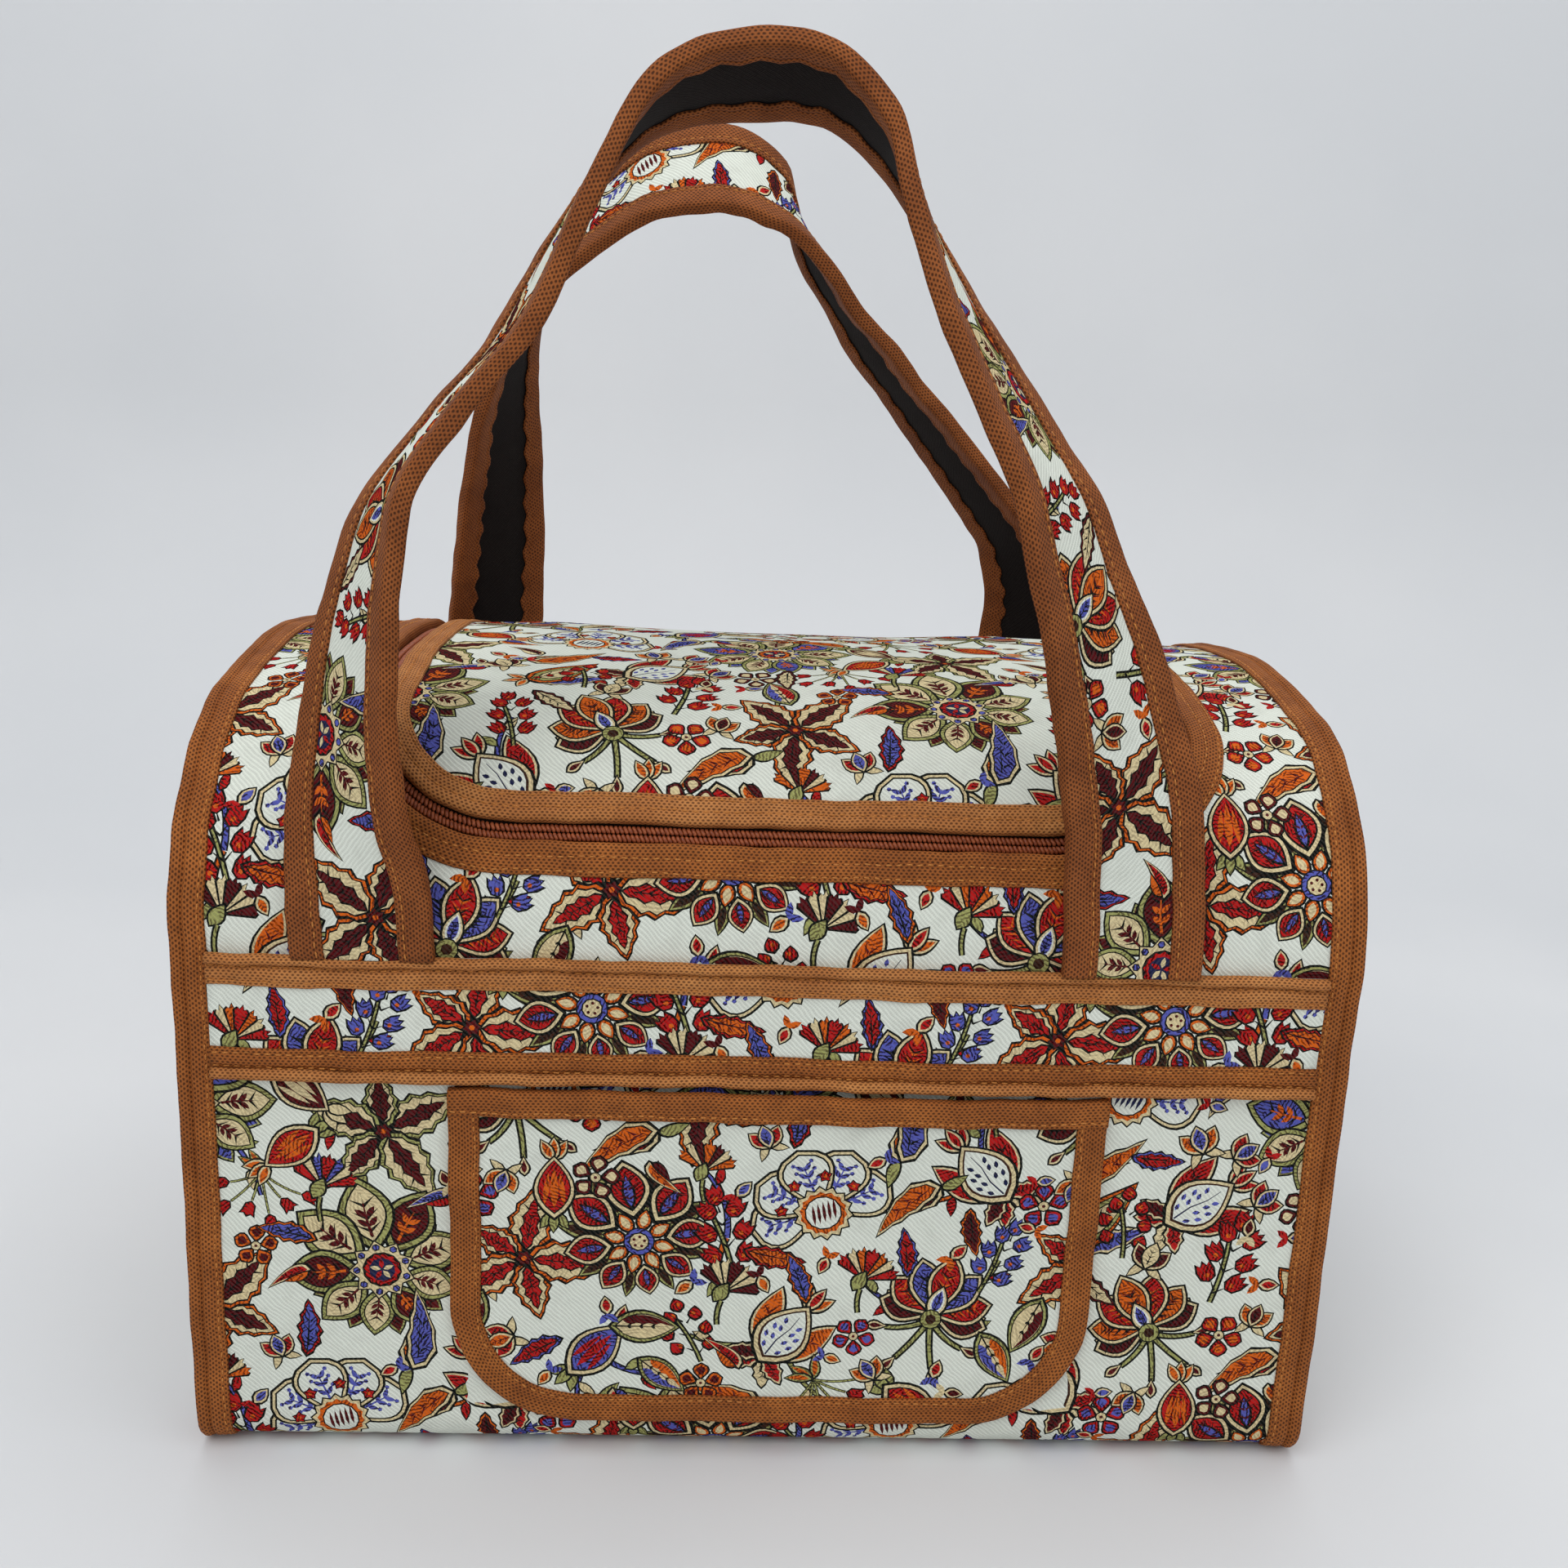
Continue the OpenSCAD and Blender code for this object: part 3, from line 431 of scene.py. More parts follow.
def composite(first, second):
    # wide flower: pointed petals with beaded rims and sprigs, a starred collar and a hatched eye
    made = []
    for k in range(9):
        a = 2 * math.pi * (k + 0.5) / 9
        made += placed(leaf(11, 6.5, 0.4, "olive", 1.0, first, steps=5), a, polar(9.5, a))
    for k in range(9):
        a = 2 * math.pi * k / 9
        tint = ("cream", first, "cream")[k % 3]
        petal = leaf(19, 12.5, 0.45, "olive", 1.5, "ink", 1.75, tint, belly=0.5, steps=8)
        sprig = "maroon" if tint == "cream" else "orange"
        petal += stroke([(4, 0), (8, 0.2), (12.5, 0)], 0.8, sprig, sprig, 0.0)
        for x, d in ((6.5, 1), (6.5, -1), (9, 1), (9, -1)):
            petal += placed([(leafEdge(3.2, 1.5, steps=3), sprig)], 0.8 * d, (x, 0))
        made += placed(petal, a, polar(5.5, a), 1 + 0.24 * math.sin(a))
    made += [disc(9.4, "ink", sides=9, zigzag=0.24), disc(8.8, "cream", sides=9, zigzag=0.24)]
    for k in range(9):
        a = 2 * math.pi * k / 9
        made += [disc(1.15, "ink", polar(6.9, a), 6), disc(0.8, "blue", polar(6.9, a), 6)]
    made += [disc(5.4, "ink", sides=12), disc(5.0, second, sides=12, zigzag=0.14),
             disc(3.6, "navy", sides=10)]
    for k in range(5):
        a = 2 * math.pi * k / 5
        made += placed([(leafEdge(3.0, 1.4, steps=3), "red" if k % 2 else "cream")], a, polar(0.4, a))
    return made


def tulips(first, second):
    # two ranks of small cups on one stem
    made = stroke(arc((0, -13), math.pi / 2, 0.3, 24, 6), 0.7, "olive", tail=0.7)
    cup = [(0, 0), (1.2, 2.3), (4, 2.9), (7, 2.3), (5.6, 1.0), (7.4, 0), (5.6, -1.0), (7, -2.3), (4, -2.9),
           (1.2, -2.3)]
    for x, y, a in ((-4.6, -6, 2.3), (4.2, -7, 0.9), (-5.4, 0.5, 2.2), (4.4, 0, 0.8), (-4.4, 7, 2.0),
                    (3.2, 7, 0.9), (-1.6, 11, 1.6)):
        made += stroke([(-0.4, y - 3), (x * 0.5, y - 0.6)], 0.7, "ink", "ink", 0)
        head = [(cup, "ink"), ([(0.5 + q * 0.84, r * 0.78) for q, r in cup], first),
                disc(0.8, "orange", (2.4, 0), 5)]
        made += placed(head, a, (x * 0.55, y - 1))
    return made


def acanthus(first, second):
    # curling toothed leaves on one stalk
    made = placed(leaf(9, 4, 0.4, "olive", bend=0.3), 2.7, (-8, 0))
    for d, size, tint in ((-1, 0.74, second), (1, 1.0, first)):
        blade = leaf(23 * size, 10 * size, 0.5, "cream", 1.2, "ink", 1.4, tint, teeth=4, bite=0.16,
                     bend=0.5 * d, belly=0.4)
        made += placed(blade, -0.35 * d, (-9, 0))
    return made


def pod(first, second):
    # ribbed fruit with a frilled tip
    made = []
    for a in (-0.5, 0.0, 0.5):
        made += placed(leaf(8.5, 4.2, 0.4, "cream", 0.95, second, steps=4), a, (9, 0))
    for a in (2.5, -2.5, 3.1):
        made += placed(leaf(7.5, 3.6, 0.4, "olive", steps=4), a, (-8, 0))
    made += placed(leaf(22, 13, 0.5, "cream", 1.3, "ink", 1.55, first, belly=0.46, steps=8), 0, (-11, 0))
    for y, w in ((0, 2.6), (3.0, 1.8), (-3.0, 1.8)):
        made += placed([(leafEdge(14 - abs(y), w, steps=5), second)], -0.04 * y, (-7 + 0.4 * abs(y), y))
    return made


# anchors of the design: motif, place, turn, inks
anchors = [
    (composite, (40, 38), 0.1, ("blue", "orange")), (starLeaves, (110, 30), 0.3, ("olive", "maroon")),
    (lotus, (172, 56), -0.2, ("blue", "navy")), (pomegranate, (78, 92), 0.9, ("blue", "orange")),
    (heartBloom, (134, 102), -0.3, ("red", "blue")), (starLeaves, (190, 122), 1.2, ("orange", "red")),
    (bloom, (24, 130), 0.2, ("red", "blue")), (lotus, (88, 150), 0.4, ("blue", "maroon")),
    (pomegranate, (150, 160), 2.3, ("navy", "red")), (starLeaves, (46, 190), 2.1, ("orange", "maroon")),
    (composite, (108, 206), 0.4, ("maroon", "red")), (heartBloom, (186, 186), 0.5, ("orange", "red")),
    (pod, (8, 84), 0.8, ("blue", "red")), (paisley, (150, 222), 0.4, ("orange", "blue")),
    (pomegranate, (200, 6), 0.6, ("blue", "red")), (pod, (128, 62), -0.7, ("red", "orange")),
    (tulips, (56, 132), 0.2, ("red", "blue")), (tulips, (6, 214), -0.3, ("red", "blue")),
    (acanthus, (160, 20), 0.4, ("orange", "red")), (acanthus, (62, 62), 2.6, ("orange", "blue")),
    (acanthus, (120, 176), 1.4, ("blue", "orange")), (acanthus, (20, 170), 3.6, ("orange", "red"))]
anchorReach = {composite: 22, lotus: 20, bloom: 18, pomegranate: 15, heartBloom: 18, starLeaves: 19,
               paisley: 13, pod: 11, tulips: 10, acanthus: 9}
fillers = [(spray, 12, 2), (berries, 10, 2), (tulips, 10, 2), (carnation, 9, 4), (acanthus, 9, 2),
           (pod, 9, 3), (splitLeaf, 8, 5), (daisy, 6.5, 7), (bud, 6, 10), (toothedLeaf, 6, 10),
           (curl, 5.5, 8), (tinyBud, 3.6, 22)]
pairs = [("red", "orange"), ("blue", "red"), ("orange", "maroon"), ("maroon", "cream"), ("orange", "blue"),
         ("red", "blue")]


def wrapped(a, b):
    dx = abs(a[0] - b[0]) % repeat["width"]
    dy = abs(a[1] - b[1]) % repeat["height"]
    return math.hypot(min(dx, repeat["width"] - dx), min(dy, repeat["height"] - dy))


def drawRepeat():
    # one repeat of the print: stems first, then the anchors, then fillers in what room is left
    rng = random.Random(repeat["seed"])
    size = (repeat["width"], repeat["height"])
    spots = [(at, anchorReach[motif] * repeat["anchorSize"]) for motif, at, turn, tints in anchors]
    art, stems = [], []
    for motif, at, turn, tints in anchors:
        art += placed(motif(*tints), turn, at, repeat["anchorSize"])
    small = []
    for motif, reach, count in fillers:
        for k in range(count):
            for attempt in range(240):
                at = (rng.uniform(0, repeat["width"]), rng.uniform(0, repeat["height"]))
                if all(wrapped(at, p) > repeat["room"] * (reach * repeat["fillSize"] + r) for p, r in spots):
                    break
            else:
                break
            spots.append((at, reach * repeat["fillSize"]))
            near = min(anchors, key=lambda a: wrapped(at, a[1]))[1]
            goal = tuple(a + (b - a + span / 2) % span - span / 2 for a, b, span in zip(at, near, size))
            away = math.atan2(at[1] - goal[1], at[0] - goal[0])
            if motif in (bud, splitLeaf, toothedLeaf, daisy, tinyBud, curl, pod, acanthus):
                turn = away + rng.uniform(-0.6, 0.6)
            else:
                turn = rng.uniform(-0.5, 0.5)
            small += placed(motif(*rng.choice(pairs)), turn, at, repeat["fillSize"] * rng.uniform(0.9, 1.1))
            if reach > 6.5:
                span = math.hypot(at[0] - goal[0], at[1] - goal[1])
                sweep = rng.choice((-0.9, 0.9))
                way = arc(goal, away - sweep / 2, sweep, span * 1.05, 8)
                stems += stroke(way, 1.7, rng.choice(("blue", "olive", "orange", "blue")), tail=0.4)
                for step, lean in ((4, 0.8), (6, -0.8)):
                    blade = leaf(8.5, 4, 0.4, rng.choice(("olive", "cream", "red")), steps=4, bend=0.25)
                    stems += placed(blade, away + lean, way[step])
    return stems + art + small


def meshPiece(name, points, faces, materials, slots=None, uv=None, tints=None):
    # points in millimetres; faces as integer arrays of point numbers, one array for each number of corners
    mesh = bpy.data.meshes.new(name)
    corners = np.concatenate([f.ravel() for f in faces]).astype(np.int32)
    sizes = np.concatenate([np.full(len(f), f.shape[1]) for f in faces])
    mesh.vertices.add(len(points))
    mesh.vertices.foreach_set("co", (np.asarray(points) * mm).astype(np.float32).ravel())
    mesh.loops.add(len(corners))
    mesh.loops.foreach_set("vertex_index", corners)
    mesh.polygons.add(len(sizes))
    mesh.polygons.foreach_set("loop_start", (np.cumsum(sizes) - sizes).astype(np.int32))
    mesh.polygons.foreach_set("loop_total", sizes.astype(np.int32))
    mesh.update(calc_edges=True)
    for material in materials:
        mesh.materials.append(material)
    if slots is not None:
        mesh.polygons.foreach_set("material_index", np.asarray(slots, np.int32))
    mesh.polygons.foreach_set("use_smooth", np.ones(len(sizes), bool))
    if uv is not None:
        mesh.uv_layers.new(name="flat").data.foreach_set("uv", np.asarray(uv, np.float32).ravel())
    if tints is not None:
        layer = mesh.color_attributes.new("print", "BYTE_COLOR", "CORNER")
        layer.data.foreach_set("color_srgb", np.asarray(tints, np.float32).ravel())
    mesh.update()
    piece = bpy.data.objects.new(name, mesh)
    scene.collection.objects.link(piece)
    return piece


def counterclockwise(loop):
    loop = np.asarray(loop, float)
    x, y = loop[:, 0], loop[:, 1]
    return loop if (x * np.roll(y, -1) - y * np.roll(x, -1)).sum() > 0 else loop[::-1]


def densified(loop, step):
    # the same closed outline with no stretch longer than step
    made = []
    for a, b in zip(loop, np.roll(loop, -1, 0)):
        count = max(1, math.ceil(np.linalg.norm(b - a) / step))
        made += [a + (b - a) * k / count for k in range(count)]
    return np.array(made)


def numbered(runs):
    # point numbers of runs of points that follow each other
    ends = np.cumsum([len(run) for run in runs]).tolist()
    return [list(range(end - len(run), end)) for run, end in zip(runs, ends)]


def triangulated(loops, lines, grid):
    # triangles inside the first loop and outside the others, cut along open or closed lines
    outlines = [counterclockwise(loop) for loop in loops]
    numbers = numbered([*outlines, *lines])
    edges = [(k, k + 1) for run in numbers[len(outlines):] for k in run[:-1]]
    points = [Vector(p) for p in np.concatenate([*outlines, *lines, grid])]
    made = delaunay_2d_cdt(points, edges, numbers[:len(outlines)], 0, 0.001, True)
    kept = [corners for corners, owners in zip(made[2], made[5]) if 0 in owners and len(owners) == 1]
    used, numbers = np.unique(np.array(kept), return_inverse=True)
    return np.array([p[:] for p in made[0]])[used], numbers.reshape(-1, 3)


def inkedRepeat(least):
    # one repeat as triangles with the ink of the topmost shape, from shapes of some least size
    size = np.array([repeat["width"], repeat["height"]])
    outlines, tints = [np.array(rectangle(0, 0, *size))], ["ground"]
    for points, ink in drawRepeat():
        points = counterclockwise(points)
        if np.ptp(points, 0).max() < least:
            continue
        for shift in ((i, j) for i in (-1, 0, 1) for j in (-1, 0, 1)):
            moved = points + size * shift
            if (moved.max(0) > 0).all() and (moved.min(0) < size).all():
                outlines.append(moved)
                tints.append(ink)
    points = [Vector(p) for p in np.concatenate(outlines)]
    made = delaunay_2d_cdt(points, [], numbered(outlines), 0, 0.0005, True)
    kept = [(corners, max(owners)) for corners, owners in zip(made[2], made[5]) if 0 in owners]
    codes = np.array([inkNames.index(tints[top]) for corners, top in kept])
    return np.array([p[:] for p in made[0]]), np.array([corners for corners, top in kept]), codes


def thinned(line, limit):
    # a line with the points left out that lie within a limit of their neighbours' chord
    keep, stack = {0, len(line) - 1}, [(0, len(line) - 1)]
    while stack:
        a, b = stack.pop()
        if b - a < 2:
            continue
        chord = line[b] - line[a]
        size = np.hypot(*chord)
        inner = line[a + 1:b] - line[a]
        across = np.abs(inner[:, 0] * chord[1] - inner[:, 1] * chord[0])
        away = across / size if size > 1e-6 else np.hypot(*inner.T)
        worst = int(away.argmax())
        if away[worst] > limit:
            keep.add(a + 1 + worst)
            stack += [(a, a + 1 + worst), (a + 1 + worst, b)]
    return line[sorted(keep)]


def inkLines(flat, faces, codes, limit):
    # the lines along which the ink changes, as runs between their meeting points
    a, b = faces.ravel(), np.roll(faces, -1, 1).ravel()
    owner = np.repeat(np.arange(len(faces)), 3)
    low, high = np.minimum(a, b), np.maximum(a, b)
    order = np.lexsort((high, low))
    low, high, owner = low[order], high[order], owner[order]
    pair = np.nonzero((low[1:] == low[:-1]) & (high[1:] == high[:-1]))[0]
    pair = pair[codes[owner[pair]] != codes[owner[pair + 1]]]
    tied = {}
    for m, n in zip(low[pair].tolist(), high[pair].tolist()):
        tied.setdefault(m, set()).add(n)
        tied.setdefault(n, set()).add(m)
    lines = []
    starts = [k for k in tied if len(tied[k]) != 2] + list(tied)
    for start in starts:
        while tied[start]:
            line, at = [start], start
            while True:
                following = tied[at].pop()
                tied[following].discard(at)
                line.append(following)
                at = following
                if len(tied[at]) != 1 or at == start:
                    break
            lines.append(thinned(flat[line], limit))
    return lines


def rectangle(x0, y0, x1, y1):
    return [(x0, y0), (x1, y0), (x1, y1), (x0, y1)]


inkNames = list(inks)
inkRgb = np.array(list(inks.values())) / 255
groundCode = inkNames.index("ground")


def preparedRepeat(least, limit):
    # what a sheet needs of the print: its lines with their boxes, and its inks by place
    flat, faces, codes = inkedRepeat(least)
    lines = inkLines(flat, faces, codes, limit)
    print("print:", len(faces), "triangles in a repeat,", sum(len(line) for line in lines),
          "points on its lines")
    return {"lines": lines, "low": np.array([line.min(0) for line in lines]),
            "high": np.array([line.max(0) for line in lines]),
            "tree": BVHTree.FromPolygons([(x, y, 0.0) for x, y in flat], faces.tolist()), "codes": codes}


fullPrint = preparedRepeat(0.0, repeat["thin"])
plainPrint = preparedRepeat(repeat["plainLeast"], repeat["plainThin"])


def within(low, high, box):
    return (low > box[:2]).all(1) & (high < box[2:]).all(1)


def printLines(art, low, high, shift, hidden):
    # the print's lines over a part of the flat cloth; none that lie under other pieces
    size = np.array([repeat["width"], repeat["height"]])
    first = np.floor((low - shift) / size).astype(int)
    last = np.floor((high - shift) / size).astype(int)
    found = []
    for i in range(first[0], last[0] + 1):
        for j in range(first[1], last[1] + 1):
            offset = shift + size * (i, j)
            a, b = art["low"] + offset, art["high"] + offset
            wanted = (a < high).all(1) & (b > low).all(1)
            for box in hidden:
                wanted &= ~within(a, b, box)
            found += [art["lines"][k] + offset for k in np.nonzero(wanted)[0]]
    return found


def inkAt(points, shift, hidden, plain):
    # ink code at flat points; under other pieces only the ground
    local = np.mod(points - shift, (repeat["width"], repeat["height"]))
    codes = np.full(len(points), groundCode)
    seen = np.ones(len(points), bool)
    for box in hidden:
        seen &= ~within(points, points, box)
    coarse = within(points, points, plain) if plain else ~seen & seen
    down = Vector((0, 0, -1))
    for k in np.nonzero(seen)[0]:
        art = plainPrint if coarse[k] else fullPrint
        hit = art["tree"].ray_cast(Vector((local[k, 0], local[k, 1], 1.0)), down)[2]
        if hit is not None:
            codes[k] = art["codes"][hit]
    return codes


def edgeLoops(faces):
    # closed runs of the edges that only one triangle has
    a = np.concatenate([faces[:, 0], faces[:, 1], faces[:, 2]])
    b = np.concatenate([faces[:, 1], faces[:, 2], faces[:, 0]])
    size = int(faces.max()) + 1
    lone = ~np.isin(a.astype(np.int64) * size + b, b.astype(np.int64) * size + a)
    following = dict(zip(a[lone].tolist(), b[lone].tolist()))
    loops = []
    while following:
        start, at = next(iter(following.items()))
        loop = [start]
        del following[start]
        while at != start:
            loop.append(at)
            at = following.pop(at)
        loops.append(np.array(loop))
    return loops


def gridOver(low, high, step):
    x = np.arange(low[0] + step / 2, high[0], step)
    y = np.arange(low[1] + step / 2, high[1], step)
    return np.stack(np.meshgrid(x, y), -1).reshape(-1, 2)


def printedSheet(name, outline, place, thick, materials, shift=(0, 0), holes=(), hidden=(), plain=None,
                 step=8.0):
    # a closed sheet cut flat, printed, then laid on the bag; place gives flat points their place at a height
    loops = [densified(np.asarray(loop, float), step) for loop in [outline, *holes]]
    low, high = loops[0].min(0), loops[0].max(0)
    grid = gridOver(low, high, step)
    shift = None if shift is None else np.array(shift, float)
    covered = [*hidden, plain] if plain else hidden
    lines = [] if shift is None else printLines(fullPrint, low, high, shift, covered)
    if plain:
        lines += printLines(plainPrint, np.array(plain[:2]), np.array(plain[2:]), shift, [])
    flat, front = triangulated(loops, lines, grid)
    rims = edgeLoops(front)
    rims.sort(key=lambda rim: -np.ptp(flat[rim], 0).sum())
    rimFlat, back = triangulated([flat[rim] for rim in rims], [], grid)
    match = {tuple(np.round(p, 3)): k for k, p in enumerate(rimFlat)}
    walls = []
    for rim in rims:
        under = np.array([match[tuple(np.round(p, 3))] for p in flat[rim]]) + len(flat)
        walls.append(np.stack([rim, under, np.roll(under, -1), np.roll(rim, -1)], -1))
    walls = np.concatenate(walls)
    everywhere = np.concatenate([flat, rimFlat])
    points = np.concatenate([place(flat, 0.0), place(rimFlat, -thick)])
    faces = [np.concatenate([front, back[:, ::-1] + len(flat)]), walls]
    corners = np.concatenate([f.ravel() for f in faces])
    tints = np.tile(inkRgb[groundCode], (len(corners), 1))
    if shift is not None:
        tints[:front.size] = np.repeat(inkRgb[inkAt(flat[front].mean(1), shift, hidden, plain)], 3, axis=0)
    slots = np.ones(len(faces[0]) + len(walls), int)
    slots[:len(front)] = 0
    piece = meshPiece(name, points, faces, materials, slots, everywhere[corners] * 0.01, tints)
    print("sheet:", name, len(piece.data.polygons), "faces")
    return piece


def drift(distance, seed, size, wave=40.0):
    # smooth unevenness along a sewn edge
    rng = random.Random(seed)
    total = 0 * distance
    for k in range(1, 4):
        phase = distance * 2 * math.pi * k / wave * rng.uniform(0.7, 1.3) + rng.uniform(0, 6.3)
        total = total + np.sin(phase) / k
    return size * total


def lengths(points):
    return np.concatenate([[0], np.cumsum(np.linalg.norm(np.diff(points, axis=0), axis=1))])


def pointsAt(at, far, line):
    # points of a line at given lengths along it
    return np.stack([np.interp(at, far, line[:, k]) for k in range(3)], -1)


def sweepFaces(rings):
    # points, faces and flat coordinates of a closed profile carried along rings of points
    count, sides = rings.shape[:2]
    k, nextK = np.arange(sides), (np.arange(sides) + 1) % sides
    i = np.arange(count - 1)[:, None] * sides
    quads = np.stack([i + k, i + nextK, i + sides + nextK, i + sides + k], -1).reshape(-1, 4)
    caps = np.stack([k[::-1], k + (count - 1) * sides])
    points = rings.reshape(-1, 3)
    a, b, c, d = (points[quads[:, n]] for n in range(4))
    volume = (np.cross(a, b) * c).sum() + (np.cross(a, c) * d).sum()
    along = lengths(rings.mean(1)) * 0.01
    around = lengths(np.concatenate([rings[0], rings[0][:1]])) * 0.01
    u = np.repeat(along[:-1], sides)
    nextU = np.repeat(along[1:], sides)
    v, nextV = np.tile(around[:-1], count - 1), np.tile(around[1:], count - 1)
    uv = np.stack([np.stack([u, v], -1), np.stack([u, nextV], -1), np.stack([nextU, nextV], -1),
                   np.stack([nextU, v], -1)], 1)
    capUv = np.stack([np.stack([k * 0 + along[e], around[k]], -1) for e in (0, -1)])
    if volume < 0:
        quads, uv, caps = quads[:, ::-1], uv[:, ::-1], caps[:, ::-1]
    return points, [quads, caps], np.concatenate([uv.reshape(-1, 2), capUv.reshape(-1, 2)])


def sweepPiece(name, ringSets, materials):
    # one piece of one or more sweeps, each with the material of its number or else the last
    points, quads, caps, uvQuads, uvCaps, start = [], [], [], [], [], 0
    for rings in ringSets:
        p, (q, c), uv = sweepFaces(rings)
        points.append(p)
        quads.append(q + start)
        caps.append(c + start)
        uvQuads.append(uv[:q.size])
        uvCaps.append(uv[q.size:])
        start += len(p)
    lastSlot = len(materials) - 1
    slots = [np.full(len(f), min(k, lastSlot)) for part in (quads, caps) for k, f in enumerate(part)]
    piece = meshPiece(name, np.concatenate(points), [np.concatenate(quads)] + caps, materials,
                      np.concatenate(slots), np.concatenate(uvQuads + uvCaps))
    print("tape:", name, len(piece.data.polygons), "faces")
    return piece


stitch = {"pitch": 3.7, "length": 2.9, "radius": 0.34, "sides": 5, "reach": 0.4, "dip": 0.35, "flat": 0.55,
          "rise": 0.18, "sway": 0.07, "stray": 0.1}


def stitchRow(line, normals, seed=0):
    # places of the stitches along a sewn line: middle, direction, side and up
    far = lengths(line)
    count = int(far[-1] / stitch["pitch"])
    at = (np.arange(count) + 0.5) * far[-1] / count
    ahead, behind = at + stitch["reach"] * stitch["pitch"], at - stitch["reach"] * stitch["pitch"]
    mid, up = pointsAt(at, far, line), pointsAt(at, far, normals)
    way = pointsAt(ahead, far, line) - pointsAt(behind, far, line)
    way /= np.linalg.norm(way, axis=1)[:, None]
    side = np.cross(up, way)
    side /= np.linalg.norm(side, axis=1)[:, None]
    rng = np.random.default_rng(seed)
    way = way + side * rng.normal(0, stitch["sway"], (count, 1))
    mid = mid + side * rng.normal(0, stitch["stray"], (count, 1))
    return mid, way, side, np.cross(way, side)


def stitchPiece(name, rows, material, thread=stitch):
    # every stitch is a short thread that dips into the cloth at both ends
    half, r, sides = thread["length"] / 2, thread["radius"], thread["sides"]
    local = [(-half, 0, -stitch["dip"])]
    for along in (-stitch["flat"], stitch["flat"]):
        for k in range(sides):
            a = 2 * math.pi * k / sides
            local.append((along * half, r * math.cos(a), stitch["rise"] + r * math.sin(a)))
    local = np.array(local + [(half, 0, -stitch["dip"])])
    k, nextK = np.arange(sides), (np.arange(sides) + 1) % sides
    last = 2 * sides + 1
    tips = np.concatenate([np.stack([0 * k, 1 + k, 1 + nextK], -1),
                           np.stack([0 * k + last, 1 + sides + nextK, 1 + sides + k], -1)])
    middle = np.stack([1 + k, 1 + sides + k, 1 + sides + nextK, 1 + nextK], -1)
    mid, way, side, up = (np.concatenate([row[n] for row in rows]) for n in range(4))
    points = mid[:, None] + local[None, :, :1] * way[:, None]
    points = points + local[None, :, 1:2] * side[:, None] + local[None, :, 2:] * up[:, None]
    offset = np.arange(len(mid))[:, None, None] * len(local)
    faces = [(middle[None, :, ::-1] + offset).reshape(-1, 4), (tips[None, :, ::-1] + offset).reshape(-1, 3)]
    piece = meshPiece(name, points.reshape(-1, 3), faces, [material])
    print("stitches:", name, len(mid))
    return piece


def srgb(*rgb):
    linear = [c / 255 / 12.92 if c < 10 else ((c / 255 + 0.055) / 1.055) ** 2.4 for c in rgb]
    return (*linear, 1.0)


class Nodes:
    # short way to build a node tree
    def __init__(self, tree):
        self.tree = tree

    def add(self, kind, inputs=None, **settings):
        node = self.tree.nodes.new(kind)
        for name, value in settings.items():
            setattr(node, name, value)
        for name, value in (inputs or {}).items():
            if isinstance(value, bpy.types.NodeSocket):
                self.tree.links.new(value, node.inputs[name])
            else:
                node.inputs[name].default_value = value
        return node

    def math(self, operation, a, b=0.0):
        return self.add("ShaderNodeMath", {0: a, 1: b}, operation=operation).outputs[0]

    def mix(self, factor, a, b, blend="MIX"):
        inputs = {0: factor, 6: a, 7: b}
        return self.add("ShaderNodeMix", inputs, data_type="RGBA", blend_type=blend).outputs[2]

    def span(self, value, low, high, toLow=0.0, toHigh=1.0):
        return self.add("ShaderNodeMapRange", {0: value, 1: low, 2: high, 3: toLow, 4: toHigh}).outputs[0]

    def noise(self, vector, scale, detail):
        return self.add("ShaderNodeTexNoise", {"Vector": vector, "Scale": scale, "Detail": detail})

    def surface(self, inputs):
        shader = self.add("ShaderNodeBsdfPrincipled", inputs)
        self.add("ShaderNodeOutputMaterial", {0: shader.outputs[0]})


def newMaterial(name):
    material = bpy.data.materials.new(name)
    material.use_nodes = True
    material.node_tree.nodes.clear()
    return material, Nodes(material.node_tree)


def nodeGroup(name, inputs, outputs):
    tree = bpy.data.node_groups.new(name, "ShaderNodeTree")
    for title, kind, value in inputs:
        socket = tree.interface.new_socket(title, in_out="INPUT", socket_type="NodeSocket" + kind)
        if value is not None:
            socket.default_value = value
    for title, kind in outputs:
        tree.interface.new_socket(title, in_out="OUTPUT", socket_type="NodeSocket" + kind)
    return tree, Nodes(tree), tree.nodes.new("NodeGroupInput"), tree.nodes.new("NodeGroupOutput")


